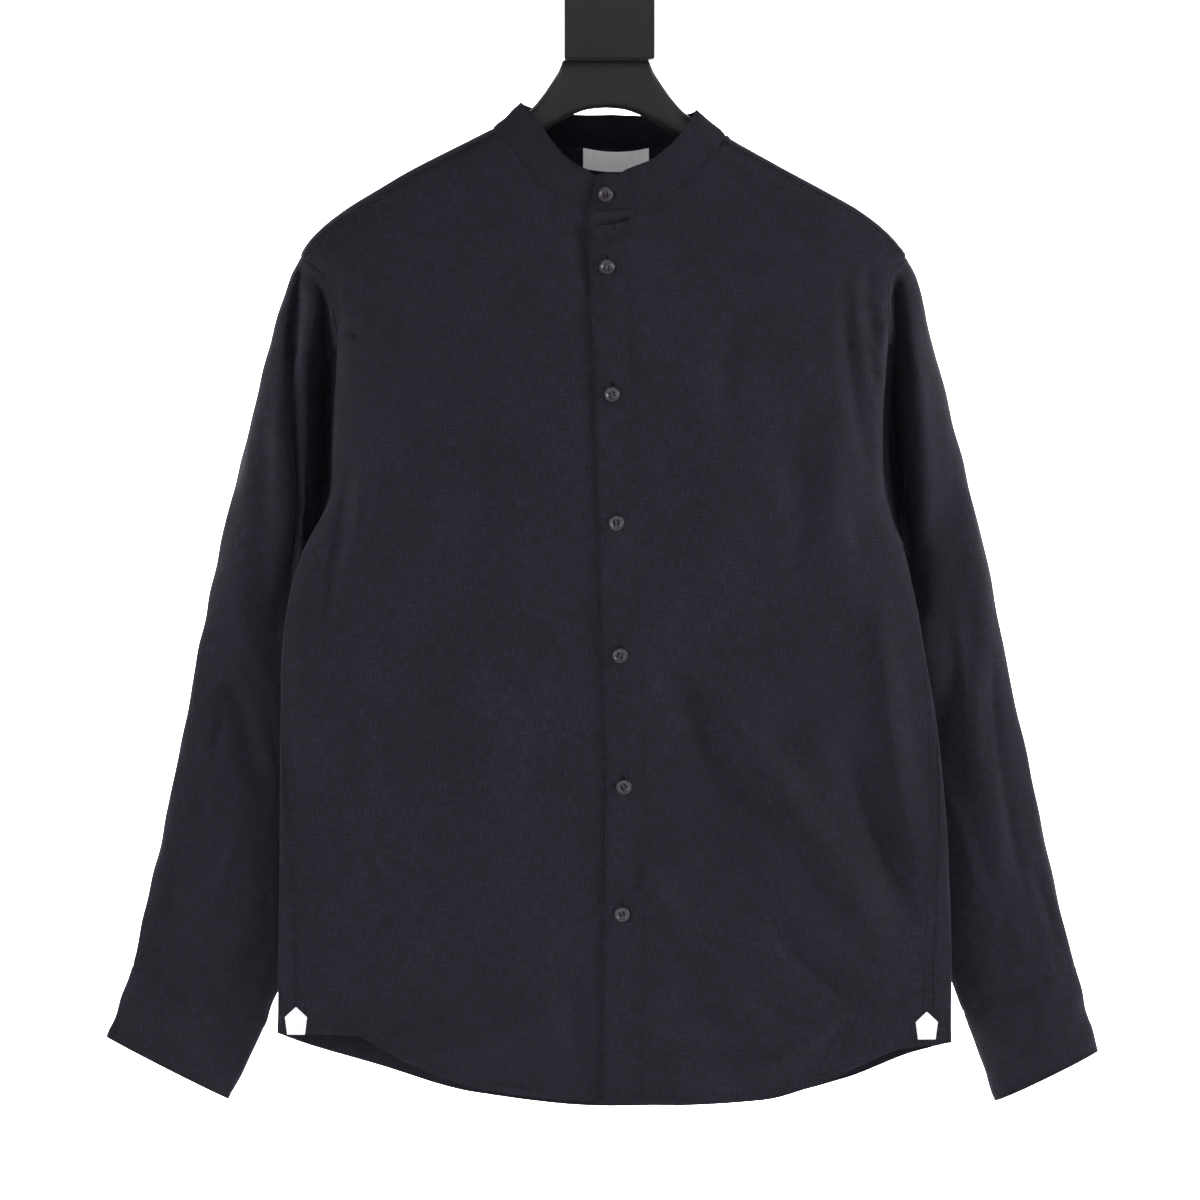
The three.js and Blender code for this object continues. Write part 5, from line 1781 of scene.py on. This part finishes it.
def make_block():
    """The block over the arms: a box with rounded edges."""
    body = bmesh.new()
    bmesh.ops.create_cube(body, size=1)
    height = BLOCK_TOP - BLOCK_BOTTOM
    for vertex in body.verts:
        vertex.co.x = (BLOCK_CENTRE + vertex.co.x * BLOCK_WIDTH) / 1000
        vertex.co.y = vertex.co.y * BLOCK_THICKNESS / 1000
        vertex.co.z = ((BLOCK_TOP + BLOCK_BOTTOM) / 2 + vertex.co.z * height) / 1000
    bmesh.ops.bevel(
        body,
        geom=body.edges[:],
        offset=BLOCK_ROUNDING / 1000,
        segments=5,
        profile=0.5,
        affect="EDGES",
        clamp_overlap=True,
    )
    bmesh.ops.recalc_face_normals(body, faces=body.faces)
    mesh = mesh_from(body, "hanger_block")
    soften(mesh, 40)
    belongs(add_object("hanger_block_shaped", mesh), "hanger", hanger_plastic, "hanger_block")


def make_hook():
    """Steel hook: a stem that bends into a round crook over the origin."""
    centre = -HOOK_RADIUS + HOOK_WIRE / 2
    knots = [(0, BLOCK_TOP + rise) for rise in (-2, 3, 6, 11)]
    for turn in range(250, -21, -15):
        angle = math.radians(turn)
        knots.append((HOOK_RADIUS * math.cos(angle), centre + HOOK_RADIUS * math.sin(angle)))
    knots = np.array(knots, dtype=float)
    steps = np.linalg.norm(np.diff(knots, axis=0), axis=1)
    lengths = np.concatenate([[0], np.cumsum(np.sqrt(steps))])
    slopes = np.gradient(knots, lengths, axis=0)
    at = np.linspace(0, lengths[-1], 130)
    row = np.clip(np.searchsorted(lengths, at, side="right") - 1, 0, len(lengths) - 2)
    span = (lengths[row + 1] - lengths[row])[:, None]
    share = ((at - lengths[row])[:, None]) / span
    path = bend(share, span, knots[row], knots[row + 1], slopes[row], slopes[row + 1])
    line = np.stack([path[:, 0], np.zeros(len(path)), path[:, 1]], axis=1)
    points, sides = [], 24
    depth = np.array([0, 1, 0])
    for index, (spot, tangent) in enumerate(zip(line, unit(np.gradient(line, axis=0)))):
        to_end = (len(line) - 1 - index) / 4
        radius = HOOK_WIRE / 2 * math.sqrt(1 - (1 - min(1, to_end)) ** 2 * 0.98)
        across = np.cross(tangent, depth)
        for corner in range(sides):
            turn = corner / sides * 2 * math.pi
            points.append(spot + radius * (math.cos(turn) * across + math.sin(turn) * depth))
    wire = make_mesh("hanger_hook_wire", points, tube_faces(len(line), sides))
    belongs(wire, "hook_steel", hook_steel, "hanger_hook")


pieces = {
    "front_right": make_front(-1, "front_right"),
    "front_left": make_front(1, "front_left"),
    "back": make_back(),
    "yoke": make_yoke(),
    "collar_band": make_collar(),
    "sleeve_right": make_sleeve(SLEEVE_RIGHT, -1, "sleeve_right"),
    "sleeve_left": make_sleeve(SLEEVE_LEFT, 1, "sleeve_left"),
    "cuff_right": make_cuff(SLEEVE_RIGHT, CUFF_FOOT_RIGHT, -1, "cuff_right"),
    "cuff_left": make_cuff(SLEEVE_LEFT, CUFF_FOOT_LEFT, 1, "cuff_left"),
    "label": make_label(),
    "gusset_right": make_patch("gusset_right", -245.0, -893.5),
    "gusset_left": make_patch("gusset_left", 245.5, -897.2),
}
make_buttons()
make_arms()
make_block()
make_hook()


def studio_floor():
    """White paper: a round floor that curves up into a wall."""
    paper = Graph("backdrop_paper").surface({"Base Color": (0.93, 0.93, 0.93, 1), "Roughness": 0.9})
    profile = [(STUDIO_RADIUS - STUDIO_COVE, 0.0)]
    for turn in np.linspace(0, math.pi / 2, 13)[1:]:
        across, rise = STUDIO_COVE * math.sin(turn), STUDIO_COVE * (1 - math.cos(turn))
        profile.append((STUDIO_RADIUS - STUDIO_COVE + across, rise))
    profile.append((STUDIO_RADIUS, STUDIO_HEIGHT))
    points, faces, sides = [(0, 0, FLOOR_LEVEL)], [], 72
    for radius, z in profile:
        for corner in range(sides):
            turn = corner / sides * 2 * math.pi
            across, along = radius * math.cos(turn), radius * math.sin(turn)
            points.append((across * 1000, along * 1000, z * 1000 + FLOOR_LEVEL))
    for corner in range(sides):
        after = (corner + 1) % sides
        faces.append((0, 1 + corner, 1 + after))
        for ring in range(len(profile) - 1):
            base = 1 + ring * sides
            faces.append((base + corner, base + sides + corner, base + sides + after, base + after))
    floor = make_mesh("studio_floor", points, faces, sharp=60)
    floor.data.materials.append(paper)


def studio():
    scene = bpy.context.scene
    scene.view_settings.view_transform = "Standard"
    world = bpy.data.worlds.new("studio")
    scene.world = world
    world.use_nodes = True
    world.node_tree.nodes["Background"].inputs["Color"].default_value = (1, 1, 1, 1)
    world.node_tree.nodes["Background"].inputs["Strength"].default_value = WORLD_STRENGTH
    studio_floor()
    for name, spot, target, size, power in LIGHTS:
        light = bpy.data.lights.new(name, "AREA")
        light.size = size
        light.energy = power
        holder = add_object(name, light)
        holder.location = spot
        holder.rotation_euler = (Vector(target) - Vector(spot)).to_track_quat("-Z", "Y").to_euler()
    camera = bpy.data.cameras.new("camera")
    camera.sensor_width = SENSOR_WIDTH
    camera.lens = SENSOR_WIDTH * CAMERA_DISTANCE / (IMAGE_PIXELS * MM_PER_PIXEL / 1000)
    camera.clip_end = 100
    holder = add_object("camera", camera)
    holder.location = (CAMERA_X, -CAMERA_DISTANCE, CAMERA_Z)
    holder.rotation_euler = (math.radians(90), 0, 0)
    scene.camera = holder


studio()
